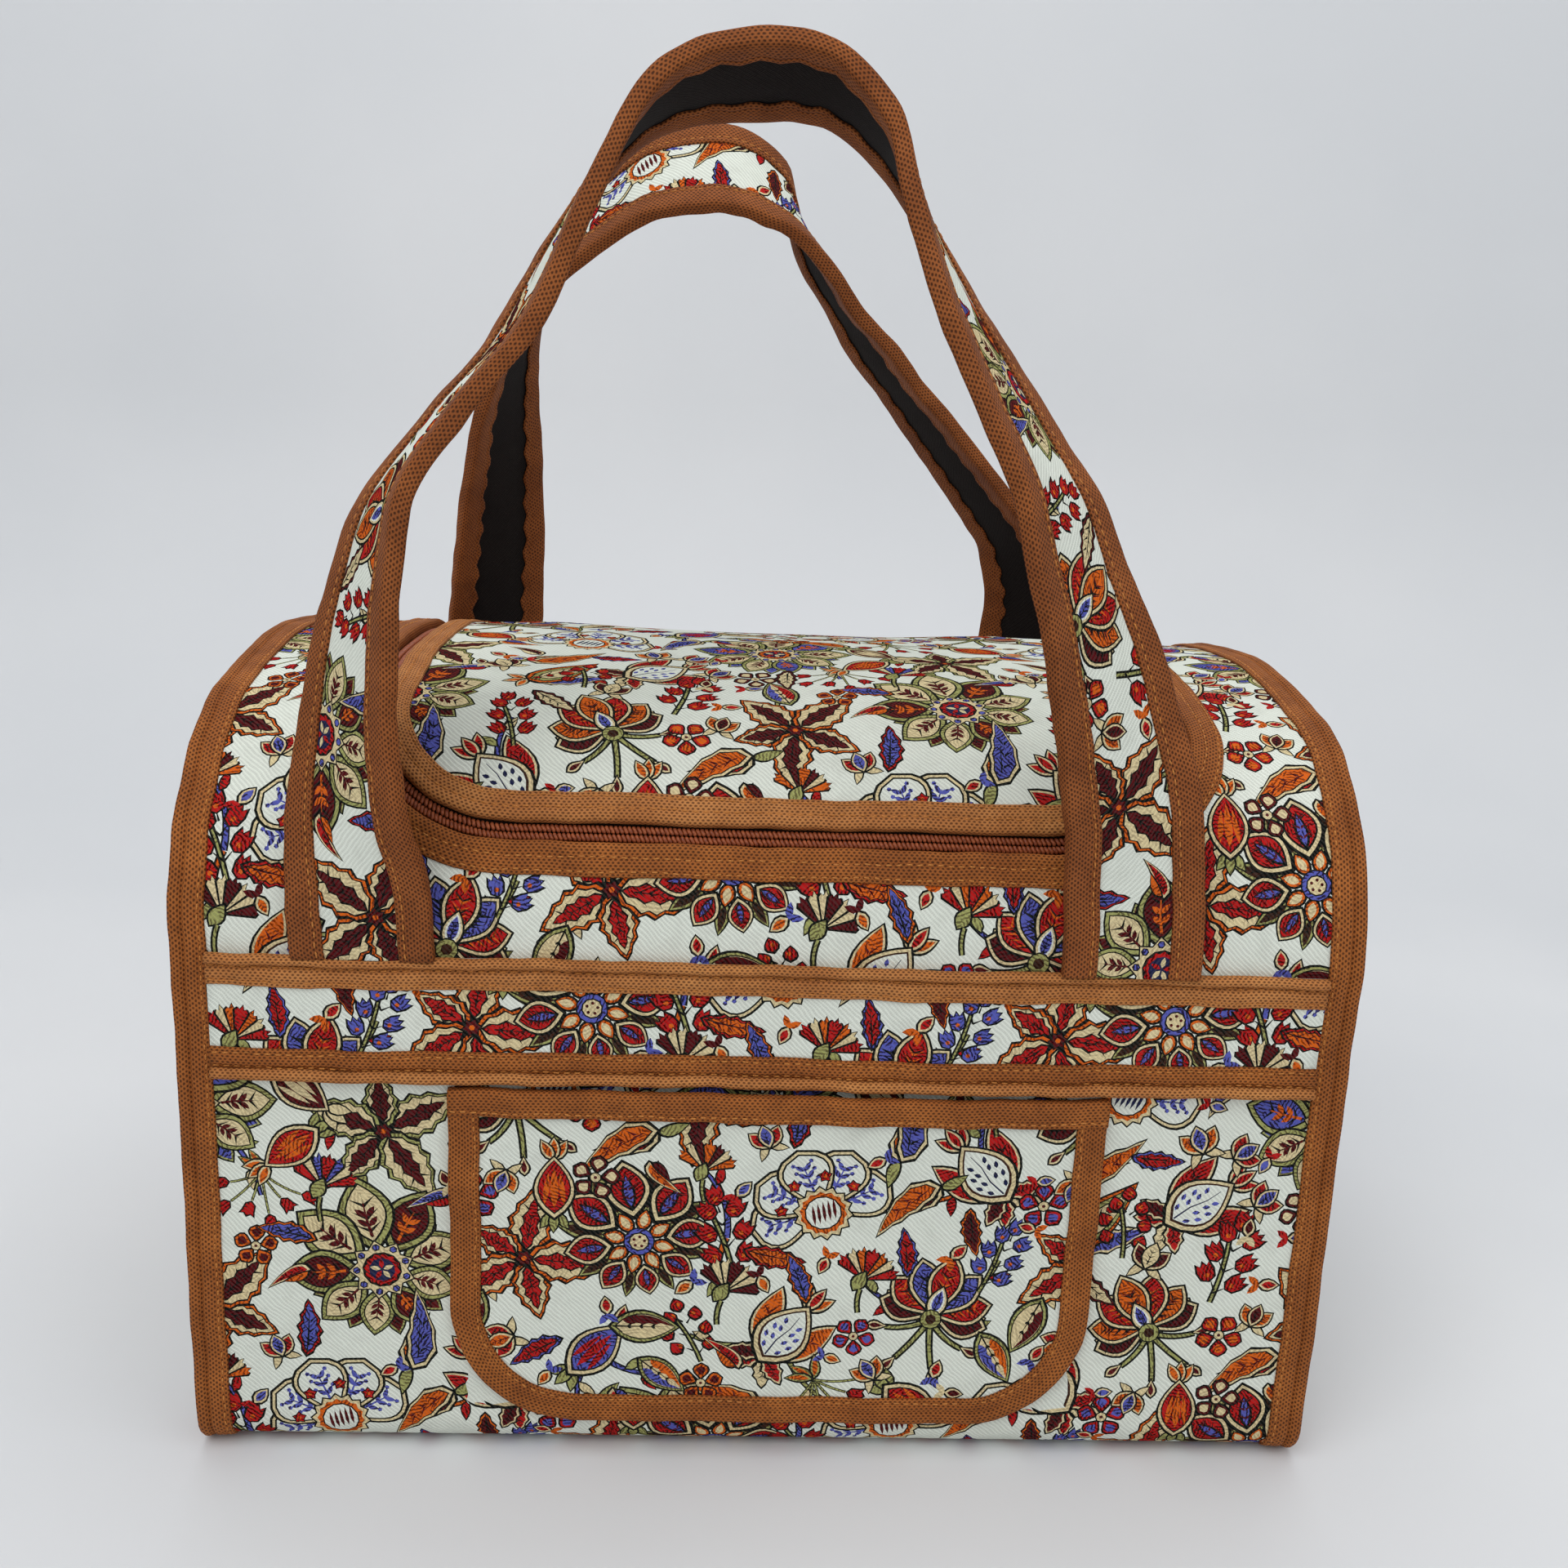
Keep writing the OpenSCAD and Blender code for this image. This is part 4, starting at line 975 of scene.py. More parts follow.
def weaveGroup():
    # threads of a cloth: height of the two crossing sets, with a diagonal rib and uneven yarn
    tree, n, given, out = nodeGroup("threads", [("Vector", "Vector", None), ("Count", "Float", 60.0),
                                                ("Rib", "Float", 0.5)],
                                    [("Height", "Float"), ("Grain", "Float")])
    uneven = n.noise(given.outputs[0], 14.0, 2.0)
    moved = n.add("ShaderNodeVectorMath", {0: uneven.outputs["Color"], 1: (0.02,) * 3}, operation="MULTIPLY")
    vector = n.add("ShaderNodeVectorMath", {0: given.outputs[0], 1: moved.outputs[0]}, operation="ADD")
    xyz = n.add("ShaderNodeSeparateXYZ", {0: vector.outputs[0]})
    turns = n.math("MULTIPLY", given.outputs[1], 2 * math.pi)
    x, y = n.math("MULTIPLY", xyz.outputs[0], turns), n.math("MULTIPLY", xyz.outputs[1], turns)
    warp, weft = n.math("SINE", x), n.math("SINE", y)
    rib = n.math("SINE", n.math("MULTIPLY", n.math("ADD", x, y), 0.5))
    checks = n.math("MULTIPLY", warp, weft)
    ribs = n.math("MULTIPLY", rib, n.math("MULTIPLY", given.outputs[2], 0.5))
    height = n.math("ADD", n.math("MULTIPLY", checks, 0.25), ribs)
    grain = n.noise(given.outputs[0], 90.0, 3.0)
    total = n.math("ADD", n.math("ADD", height, 0.5), n.math("MULTIPLY", grain.outputs[0], 0.35))
    tree.links.new(total, out.inputs[0])
    tree.links.new(grain.outputs[0], out.inputs[1])
    return tree


def dotsGroup():
    # basket weave of a tape: small pits in rows, every other row shifted by half a step; the tape material
    # paints shade into them
    tree, n, given, out = nodeGroup("basketDots", [("Vector", "Vector", None), ("Count", "Float", 55.0)],
                                    [("Height", "Float"), ("Pits", "Float")])
    rough = n.noise(given.outputs[0], 60.0, 2.0)
    xyz = n.add("ShaderNodeSeparateXYZ", {0: given.outputs[0]})
    rows = n.math("MULTIPLY", xyz.outputs[1], n.math("MULTIPLY", given.outputs[1], 1.7))
    shifted = n.math("MULTIPLY", n.math("FLOOR", rows), 0.5)
    along = n.math("ADD", n.math("MULTIPLY", xyz.outputs[0], given.outputs[1]), shifted)
    wobble = n.math("MULTIPLY", n.math("SUBTRACT", rough.outputs[0], 0.5), 0.5)
    x = n.math("SUBTRACT", n.math("FRACT", n.math("ADD", along, wobble)), 0.5)
    y = n.math("SUBTRACT", n.math("FRACT", rows), 0.5)
    reach = n.math("ADD", n.math("MULTIPLY", n.math("MULTIPLY", x, x), 7.0),
                   n.math("MULTIPLY", n.math("MULTIPLY", y, y), 4.5))
    pits = n.span(reach, 0.85, 0.1)
    height = n.math("SUBTRACT", n.math("MULTIPLY", rough.outputs[0], 0.6), n.math("MULTIPLY", pits, 0.7))
    tree.links.new(height, out.inputs[0])
    tree.links.new(pits, out.inputs[1])
    return tree


def wearGroup():
    # slow change of colour over a piece: faded patches and a little dust in fine random specks
    tree, n, given, out = nodeGroup("wear", [("Color", "Color", None), ("Fade", "Float", 0.2),
                                             ("Scale", "Float", 12.0)],
                                    [("Color", "Color")])
    place = n.add("ShaderNodeTexCoord").outputs["Object"]
    patch = n.noise(place, given.outputs[2], 3.0)
    fine = n.noise(place, n.math("MULTIPLY", given.outputs[2], 9.0), 2.0)
    light = n.math("MULTIPLY", n.span(patch.outputs[0], 0.45, 0.75), given.outputs[1])
    dark = n.math("MULTIPLY", n.span(fine.outputs[0], 0.5, 0.8), given.outputs[1])
    faded = n.mix(light, given.outputs[0], (0.9, 0.85, 0.75, 1), "SOFT_LIGHT")
    tree.links.new(n.mix(dark, faded, (0.25, 0.22, 0.2, 1), "MULTIPLY"), out.inputs[0])
    return tree


def strokesGroup():
    # drawn strokes in the inks: rows of short lines that turn from patch to patch
    tree, n, given, out = nodeGroup("strokes", [("Vector", "Vector", None), ("Count", "Float", 75.0)],
                                    [("Strokes", "Float")])
    patch = n.add("ShaderNodeTexVoronoi", {"Vector": given.outputs[0], "Scale": 15.0})
    mixed = n.add("ShaderNodeSeparateColor", {0: patch.outputs["Color"]})
    turn = n.math("MULTIPLY", mixed.outputs[0], 2 * math.pi)
    xyz = n.add("ShaderNodeSeparateXYZ", {0: given.outputs[0]})
    across = n.math("ADD", n.math("MULTIPLY", xyz.outputs[0], n.math("COSINE", turn)),
                    n.math("MULTIPLY", xyz.outputs[1], n.math("SINE", turn)))
    uneven = n.noise(given.outputs[0], 70.0, 2.0)
    phase = n.math("ADD", n.math("MULTIPLY", across, n.math("MULTIPLY", given.outputs[1], 2 * math.pi)),
                   n.math("MULTIPLY", uneven.outputs[0], 7.0))
    shaded = n.noise(given.outputs[0], 26.0, 1.0)
    lines = n.span(n.math("SINE", phase), -0.1, 0.35)
    tree.links.new(n.math("MULTIPLY", lines, n.span(shaded.outputs[0], 0.36, 0.48)), out.inputs[0])
    return tree


threads, basketDots, wear, strokes = weaveGroup(), dotsGroup(), wearGroup(), strokesGroup()


def clothMaterial(name, colour=None, weave=60.0, rib=0.5, shade=0.12, fade=0.15, roughness=0.85, sheen=0.1,
                  depth=0.25):
    # woven cloth, printed where no colour is given, with painted shade in the low places of its weave
    material, n = newMaterial(name)
    uv = n.add("ShaderNodeUVMap", uv_map="flat").outputs[0]
    woven = n.add("ShaderNodeGroup", {0: uv, 1: weave, 2: rib}, node_tree=threads)
    base = colour
    if not colour:
        ink = n.add("ShaderNodeVertexColor", layer_name="print")
        drawn = n.add("ShaderNodeGroup", {0: uv, 1: 72.0}, node_tree=strokes)
        weight = n.math("MULTIPLY", drawn.outputs[0], ink.outputs["Alpha"])
        base = n.mix(weight, ink.outputs[0], (0.16, 0.1, 0.11, 1), "MULTIPLY")
    # painted shade: where the weave is low, its colour is darkened towards near black
    dark = n.span(woven.outputs[0], 0.75, 0.3, 0.0, shade)
    weaveShaded = n.mix(dark, base, (0.1, 0.09, 0.08, 1))
    worn = n.add("ShaderNodeGroup", {0: weaveShaded, 1: fade}, node_tree=wear)
    bump = n.add("ShaderNodeBump", {"Strength": 0.6, "Distance": depth * mm, "Height": woven.outputs[0]})
    n.surface({"Base Color": worn.outputs[0], "Roughness": roughness, "Sheen Weight": sheen,
               "Specular IOR Level": 0.0,
               "Normal": bump.outputs[0]})
    return material


def tapeMaterial(name, colour, light, pitShade, count, depth):
    # embossed binding tape with painted shade in the pits between its dots
    material, n = newMaterial(name)
    uv = n.add("ShaderNodeUVMap", uv_map="flat").outputs[0]
    dots = n.add("ShaderNodeGroup", {0: uv, 1: count}, node_tree=basketDots)
    streak = n.noise(uv, 5.0, 4.0)
    base = n.mix(n.span(streak.outputs[0], 0.35, 0.7), colour, light)
    # painted shade: the pits take the dark pit colour
    pitShaded = n.mix(n.math("MULTIPLY", dots.outputs[1], 0.85), base, pitShade)
    worn = n.add("ShaderNodeGroup", {0: pitShaded, 1: 0.25, 2: 20.0}, node_tree=wear)
    bump = n.add("ShaderNodeBump", {"Strength": 0.7, "Distance": depth * mm, "Height": dots.outputs[0]})
    n.surface({"Base Color": worn.outputs[0], "Roughness": 0.72, "Specular IOR Level": 0.16,
               "Normal": bump.outputs[0]})
    return material


def noiseMaterial(name, dark, light, scale, roughness, metallic=0.0, depth=0.05):
    # solid stuff with mottled colour and fine unevenness: thread, nylon, metal
    material, n = newMaterial(name)
    place = n.add("ShaderNodeTexCoord").outputs["Object"]
    mottle = n.noise(place, scale, 3.0)
    colour = n.mix(n.span(mottle.outputs[0], 0.35, 0.68), dark, light)
    bump = n.add("ShaderNodeBump", {"Strength": 0.5, "Distance": depth * mm, "Height": mottle.outputs[0]})
    rough = n.span(mottle.outputs[0], 0.3, 0.7, roughness - 0.08, roughness + 0.1)
    n.surface({"Base Color": colour, "Roughness": rough, "Metallic": metallic, "Normal": bump.outputs[0]})
    return material


printedCloth = clothMaterial("printed_cloth", None, 100.0, 0.8, 0.26, 0.14, 0.95, 0.0)
clothBack = clothMaterial("cloth_back", srgb(206, 202, 190), 110.0, 0.2, 0.25, 0.2)
liningCloth = clothMaterial("lining_cloth", srgb(26, 22, 22), 90.0, 0.15, 0.3, 0.2, 0.95, 0.06, 0.35)
zipCloth = clothMaterial("zip_cloth", srgb(48, 27, 18), 140.0, 0.3, 0.35, 0.2)
# the third colour of each tape is the painted shade of its pits
bindingTape = tapeMaterial("binding_tape", srgb(148, 84, 38), srgb(176, 104, 48), srgb(52, 27, 15), 54.0, 0.7)
# painted light: a lighter copy of the binding tape for tapes whose faces catch the light (the lid tape, the
# bands' top strips and the rolled lips)
paintedLitTape = tapeMaterial("binding_tape_painted_lit", srgb(178, 112, 60), srgb(200, 134, 76), srgb(78, 43, 24), 54.0, 0.6)
# painted shade: a darker copy of the binding tape for the handles' tapes, whose faces turn away from the
# light
paintedShadeTape = tapeMaterial("binding_tape_painted_shade", srgb(134, 74, 36), srgb(160, 92, 46), srgb(46, 24, 14), 54.0, 0.7)
stitchThread = noiseMaterial("stitch_thread", srgb(168, 98, 34), srgb(206, 136, 58), 2600.0, 0.6)
zipNylon = noiseMaterial("zip_coil", srgb(124, 56, 28), srgb(180, 96, 52), 900.0, 0.5)
zipMetal = noiseMaterial("zip_metal", srgb(120, 92, 54), srgb(168, 136, 86), 350.0, 0.36, 1.0, 0.02)
print("materials:", len(bpy.data.materials))


def sewn(piece, body, *nodes, flat=None, held="stretched", area=None, slot=None):
    # what every piece needs: its body and the CAD pieces it stands for
    # its slot and its cut, given as slot, flat, held and area, are not used
    if body:
        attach(piece, body)
    if nodes:
        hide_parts(*nodes)
    return piece


# Lid and opening, in flat millimetres
lid = {"half": 145.0, "corner": 50.0, "rise": 49.0, "gap": 10.0, "tail": 34.0, "tailHalf": 6.5,
       "overrun": 14.0, "flare": 10.0, "tape": 9.5, "seams": (3.4, 7.8), "openTape": 11.0,
       "openSeams": (4.2, 9.2), "step": 4.0}
lidFront = wallEnd + lid["rise"]
foldS = loopS - shoulderEnd
cornerX, cornerS = lid["half"] - lid["corner"], lidFront + lid["corner"]
openHalf, openFront, openCorner = lid["half"] + lid["gap"], lidFront - lid["gap"], lid["corner"] + lid["gap"]
chainX, tailEnd = lid["half"] + lid["gap"] / 2, foldS + lid["tail"]


def straight(a, b, way):
    # points of a straight edge with its outward direction
    count = max(2, math.ceil(math.dist(a, b) / lid["step"]) + 1)
    t = np.linspace(0, 1, count)[:, None]
    return np.concatenate([np.array(a) + t * (np.array(b) - a), np.tile(way, (count, 1))], 1)


def turn(centre, radius, start, end):
    count = max(3, math.ceil(radius * abs(end - start) / lid["step"]) + 1)
    t = np.linspace(start, end, count)
    way = np.stack([np.cos(t), np.sin(t)], -1)
    return np.concatenate([np.array(centre) + radius * way, way], 1)


def joined(*parts):
    # parts of a path in one, without doubled points
    path = np.concatenate(parts)
    return path[np.concatenate([[True], np.linalg.norm(np.diff(path[:, :2], axis=0), axis=1) > 0.05])]


def bothSides(*parts):
    # a right half and its mirror image
    half = np.concatenate(parts)
    return joined(half, half[::-1] * (-1, 1, -1, 1))


lidPath = bothSides(
    straight((lid["half"], foldS - 0.2), (lid["half"], cornerS), (1, 0)),
    turn((cornerX, cornerS), lid["corner"], 0, -math.pi / 2),
    straight((cornerX, lidFront), (0, lidFront), (0, -1)))
openPath = bothSides(
    straight((chainX - lid["tailHalf"], foldS + 0.2), (chainX - lid["tailHalf"], tailEnd), (-1, 0)),
    turn((chainX, tailEnd), lid["tailHalf"], math.pi, 0),
    straight((chainX + lid["tailHalf"], tailEnd), (chainX + lid["tailHalf"], foldS), (1, 0)),
    straight((openHalf, foldS - lid["flare"]), (openHalf, cornerS), (1, 0)),
    turn((cornerX, cornerS), openCorner, 0, -math.pi / 2),
    straight((cornerX, openFront), (0, openFront), (0, -1)))

clothThick = section["clothThick"]
bothCloths = [printedCloth, clothBack]
printShift, seamGap, inset = (-40.0, 12.0), 0.3, 4
clothShare = {"upper": 0.59, "end": 0.93}
bandLow, bandHigh = cadSpan("front_band")
bandHalf, bandFoot, bandTop = bandHigh[0], bandLow[2], bandHigh[2]
seamS = wallS((bandFoot + bandTop) / 2)
pocketLow, pocketHigh = cadSpan("pocket_panel")
underBand = (-bandHalf + inset, wallS(bandFoot + inset), bandHalf - inset, wallS(bandTop - inset))
backBand = (underBand[0], loopS - underBand[3], underBand[2], loopS - underBand[1])
backBandLow = (underBand[0], -underBand[3], underBand[2], -underBand[1])
underPocket = (pocketLow[0] + inset, wallS(pocketLow[2] + inset), pocketHigh[0] - inset,
               wallS(pocketHigh[2] - inset))


def layBody(points, n):
    return onCloth(points[:, 0], points[:, 1], n)


lowerCloth = printedSheet("lower_cloth", rectangle(-panelHalf, -seamS, panelHalf, seamS), layBody, clothThick,
                          bothCloths, printShift, hidden=[underBand, backBandLow, underPocket],
                          plain=(-panelHalf - 1, 6 - floorHalf, panelHalf + 1, floorHalf - 6))
sewn(lowerCloth, "bag", "lower_panel", flat=(2 * panelHalf, 2 * seamS), slot="printed_cloth")

# the lid's tongue runs on behind the fold, between the zip's tails
tongueS, tongueHalf = foldS + lid["overrun"], chainX - lid["tailHalf"]
mouth = np.concatenate([[(tongueHalf, tongueS)], openPath[1:-1, :2], [(-tongueHalf, tongueS)]])
beside = np.abs(mouth[:, 0]) >= tongueHalf + 0.1
mouth = mouth[beside | (mouth[:, 1] <= foldS) | (mouth[:, 1] >= tongueS - 0.1)]
upperOutline = rectangle(-panelHalf, seamS + seamGap, panelHalf, loopS - seamS - seamGap)
upperCloth = printedSheet("upper_cloth", upperOutline, layBody, clothThick, bothCloths, printShift,
                          holes=[mouth], hidden=[underBand, backBand])
upperLength = loopS - 2 * seamS
sewn(upperCloth, "bag", "upper_panel", flat=(2 * panelHalf, upperLength),
     area=clothShare["upper"] * 2 * panelHalf * upperLength, slot="printed_cloth")

lidOutline = np.concatenate([[(tongueHalf, tongueS), (tongueHalf, foldS)], lidPath[:, :2],
                             [(-tongueHalf, foldS), (-tongueHalf, tongueS)]])
lidCloth = printedSheet("lid_cloth", lidOutline, layBody, clothThick, bothCloths, printShift)
sewn(lidCloth, None, "lid_panel", flat=(2 * lid["half"], tongueS - lidFront), slot="printed_cloth")
foldLine = onCloth(np.zeros(2), np.array([foldS - 8, foldS + 8]), 0.0) * mm
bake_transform(lidCloth)

endInset = -(clothThick + section["gap"])
endFlat = (2 * (halfDepth + endInset), topZ - floorZ + 2 * endInset)
ringS = np.linspace(0, loopS, 180, endpoint=False)


def layEnd(side):
    def place(points, n):
        y, z = points[:, 0] * side, points[:, 1]
        arch = np.sin(math.pi * np.clip(z / topZ, 0, 1))
        puff = section["bulge"] * np.clip(1 - (y / halfDepth) ** 2, 0, 1) * arch
        return np.stack([side * (panelHalf + puff + n), y, z], -1)
    return place


for side, name in ((-1, "left"), (1, "right")):
    y, z, outY, outZ = sectionAt(ringS)
    outline = np.stack([(y + endInset * outY) * side, z + endInset * outZ], -1)
    endCloth = printedSheet("end_cloth_" + name, outline, layEnd(side), clothThick, bothCloths,
                            (side * 63.0, 30.0 + 40 * side))
    sewn(endCloth, "bag", "end_panel_" + name, flat=endFlat, area=clothShare["end"] * endFlat[0] * endFlat[1],
         slot="printed_cloth")

# Bands and pocket lie on the walls
patch = {"foot": 0.2, "thick": 2.0, "gape": 3.2, "gapeDepth": 55.0, "corner": 46.0}
patchTop = patch["foot"] + patch["thick"]


def onWall(back=False, gape=False):
    def lay(x, z, n):
        x, z = np.broadcast_arrays(x, z)
        more = gapeAt(x, z) if gape else 0.0
        return onCloth(-x if back else x, wallS(z, back), n + more)
    return lay


def layPatch(lay):
    return lambda points, n: lay(points[:, 0], points[:, 1], patchTop + n)


for name, back in (("front", False), ("back", True)):
    outline = rectangle(-bandHalf, bandFoot, bandHalf, bandTop)
    band = printedSheet(name + "_band_cloth", outline, layPatch(onWall(back)), patch["thick"], bothCloths,
                        (17.0, 96.0) if back else (-88.0, bandFoot - 102))
    sewn(band, "bag", name + "_band", flat=(2 * bandHalf, bandTop - bandFoot), slot="printed_cloth")

pocketMid, pocketHalf = (pocketLow[0] + pocketHigh[0]) / 2, (pocketHigh[0] - pocketLow[0]) / 2


def gapeAt(x, z):
    # the mouth stands a little off the wall
    middle = np.clip(1 - ((x - pocketMid) / pocketHalf) ** 2, 0, 1)
    return patch["gape"] * middle * eased(1 - (pocketHigh[2] - z) / patch["gapeDepth"])


corner = patch["corner"]
pocketLeft, pocketRight, pocketFoot = pocketLow[0], pocketHigh[0], pocketLow[2]
pocketPath = joined(
    straight((pocketLeft, pocketHigh[2]), (pocketLeft, pocketFoot + corner), (-1, 0)),
    turn((pocketLeft + corner, pocketFoot + corner), corner, math.pi, 1.5 * math.pi),
    straight((pocketLeft + corner, pocketFoot), (pocketRight - corner, pocketFoot), (0, -1)),
    turn((pocketRight - corner, pocketFoot + corner), corner, 1.5 * math.pi, 2 * math.pi),
    straight((pocketRight, pocketFoot + corner), (pocketRight, pocketHigh[2]), (1, 0)))
onPocket = onWall(gape=True)
pocket = printedSheet("pocket_cloth", pocketPath[:, :2], layPatch(onPocket), patch["thick"], bothCloths,
                      (-70.0, -38.0))
sewn(pocket, "bag", "pocket_panel", flat=(2 * pocketHalf, pocketHigh[2] - pocketLow[2]), slot="printed_cloth")


# Binding tapes, with their stitched lines
tape = {"rise": 1.25, "groove": 0.35, "wobble": 0.22}
tapeCut = {"end": 25.0, "lid": 25.0, "opening": 28.0, "band": 18.0, "pocket": 17.0, "strap": 29.0}


def tapeTop(width, grooves, top, edge=0.0):
    # upper outline of a tape from its free edge to its fold; grooves are distances from the fold
    points = [(-width, top + 0.15), (-width + 0.12, top + 0.75), (-width + 0.6, top + tape["rise"] - 0.1)]
    for g in sorted(grooves, reverse=True):
        points += [(-g - 0.75, top + tape["rise"]), (-g, top + tape["rise"] - tape["groove"]),
                   (-g + 0.75, top + tape["rise"])]
    return points + [(-1.3, top + tape["rise"] + 0.15), (edge - 0.1, top + tape["rise"]),
                     (edge + 0.8, top + 0.75)]


def foldProfile(width, thick, grooves):
    # tape folded over the edge of a cloth whose faces are at 0 and -thick
    upper = tapeTop(width, grooves, 0.0, 0.2)
    fold = [(1.35, 0.0), (1.4, -thick / 2), (1.35, -thick)]
    lower = [(a, -thick - n) for a, n in reversed(upper)]
    inside = [(-0.4, -thick - 0.1), (0.12, -thick), (0.12, 0.0), (-0.4, 0.1)]
    return np.array(upper + fold + lower + inside)


def lipProfile(width, grooves, top, foot):
    # tape over the edge of a cloth laid on a wall, down to the wall at its fold
    upper = tapeTop(width, grooves, top, 0.1)
    return np.array(upper + [(1.2, top), (1.25, foot + 0.5), (1.0, foot), (0.15, foot), (0.1, top),
                             (-0.4, top + 0.1)])


def tapeRings(path, profile, seed, lay=onCloth, lift=0.0):
    far = lengths(path[:, :2])
    a = profile[None, :, 0] + drift(far, seed, tape["wobble"])[:, None]
    n = profile[None, :, 1] * (1 + drift(far, seed + 50, 0.05)[:, None]) + lift
    return lay(path[:, 0:1] + a * path[:, 2:3], path[:, 1:2] + a * path[:, 3:4], n)


def sewnLine(path, offset, height, seed, lay=onCloth):
    # a row of stitches on a tape, at a distance in from its fold
    far = lengths(path[:, :2])
    a = drift(far, seed, tape["wobble"]) - offset
    x, s = path[:, 0] + a * path[:, 2], path[:, 1] + a * path[:, 3]
    line, above = lay(x, s, height), lay(x, s, height + 1.0)
    return stitchRow(line, above - line, seed)


bagRows, lidRows = [], []
level = tape["rise"] - tape["groove"]

# tape round each end, over the corner of two cloths
endTape = {"groove": 9.0, "outside": 1.05}
endProfile = np.array([(-11, 0.12), (-10.9, 0.7), (-10.4, 1.1), (-9.7, 1.22), (-9, 0.9), (-8.3, 1.3),
                       (-5.5, 1.5), (-4.1, 1.4), (-3.5, 0.5), (-2.9, 0.5), (-2.3, 1.5), (-1, 1.95),
                       (0.4, 1.8), (1.4, 1.1), (1.7, 0.2), (1.45, -1), (1.36, -2.2), (1.4, -5), (1.36, -8.4),
                       (1.05, -9), (1.3, -9.7), (1.05, -10.8), (0.3, -11), (0.12, -10.6), (0.12, -0.2),
                       (0.0, 0.1), (-10.6, 0.1)])
endS = np.linspace(0, loopS, 300)
for side, name in ((-1, "left"), (1, "right")):
    uneven = drift(endS, 3 + side, 0.2) * np.sin(math.pi * endS / loopS)
    x = side * (panelHalf + endProfile[None, :, 0] + uneven[:, None])
    rings = onCloth(x, np.repeat(endS[:, None], len(endProfile), 1), endProfile[None, :, 1])
    rings[..., 2] = np.maximum(rings[..., 2], 0.05)
    piece = sweepPiece("end_tape_" + name, [rings], [bindingTape])
    sewn(piece, "bag", "end_binding_" + name, flat=(tapeCut["end"], loopS), slot="binding_tape")
    seamX = side * (panelHalf - endTape["groove"] + uneven)
    line = onCloth(seamX, endS, level)
    bagRows.append(stitchRow(line, onCloth(seamX, endS, level + 1) - line, 7 + side))
    y, z, outY, outZ = sectionAt(endS)
    line = np.stack([0 * y + side * (panelHalf + endTape["outside"]), y - endTape["groove"] * outY,
                     z - endTape["groove"] * outZ], -1)
    bagRows.append(stitchRow(line, np.tile((float(side), 0.0, 0.0), (len(line), 1)), 9 + side))

tapePath = lidPath.copy()
tapePath[:, 1] = np.minimum(tapePath[:, 1], foldS - 1.4)
lidRings = tapeRings(tapePath, foldProfile(lid["tape"], clothThick, lid["seams"]), 21)
# the lid tape takes the binding tape copy with painted light
lidTape = sweepPiece("lid_tape", [lidRings], [paintedLitTape])
lidRun = lengths(lidPath[:, :2])[-1]
sewn(lidTape, "lid", "lid_binding", flat=(tapeCut["lid"], lidRun), slot="binding_tape")
lidRows += [sewnLine(lidPath, far, level, 22 + k) for k, far in enumerate(lid["seams"])]
openProfile = foldProfile(lid["openTape"], clothThick, lid["openSeams"]) * (-1, 1)
openTape = sweepPiece("opening_tape", [tapeRings(openPath, openProfile, 31)], [bindingTape])
openRun = lengths(openPath[:, :2])[-1]
sewn(openTape, "bag", "opening_binding", flat=(tapeCut["opening"], openRun), slot="binding_tape")
bagRows += [sewnLine(openPath, -far, level, 32 + k) for k, far in enumerate(lid["openSeams"])]

# the bands' tapes are each a flat strip and a rolled lip, sewn along both
bandSeams = ((9.1, 3.1, 45), (3.9, 2.6, 47))


def rollProfile(centre, top, half, high):
    # rolled lip: a flattened tube lying on the wall
    angles = np.linspace(0, 2 * math.pi, 12, endpoint=False)
    return np.stack([centre + half * np.cos(angles), top + high * np.sin(angles)], -1)


stripProfile = np.array([(-1.5, 2.25), (-1.5, 2.4), (-4.1, 2.45), (-4.6, 3.3), (-5.4, 3.6), (-7, 3.65),
                         (-8.4, 3.5), (-9.1, 3.1), (-9.8, 3.4), (-10.6, 3.25), (-11, 2.9), (-11, 2.3)])
for name, back in (("front", False), ("back", True)):
    lay = onWall(back)
    for place, z, way in (("top", bandTop, 1), ("bottom", bandFoot, -1)):
        path = straight((-bandHalf, z), (bandHalf, z), (0, way))
        lip = rollProfile(-1.3, 2.3, 2.0, 2.5) if way > 0 else rollProfile(-1.0, 2.4, 2.3, 2.7)
        rings = [tapeRings(path, stripProfile, 41 + way, lay), tapeRings(path, lip, 43 + way, lay)]
        # the rolled lips and the top strips take the binding tape copy with painted light
        piece = sweepPiece(name + "_band_" + place + "_tape", rings,
                           [paintedLitTape if way > 0 else bindingTape, paintedLitTape])
        sewn(piece, "bag", name + "_band_" + place + "_binding", flat=(tapeCut["band"], 2 * bandHalf),
             slot="binding_tape")
        bagRows += [sewnLine(path, far, high, seed + way, lay) for far, high, seed in bandSeams]

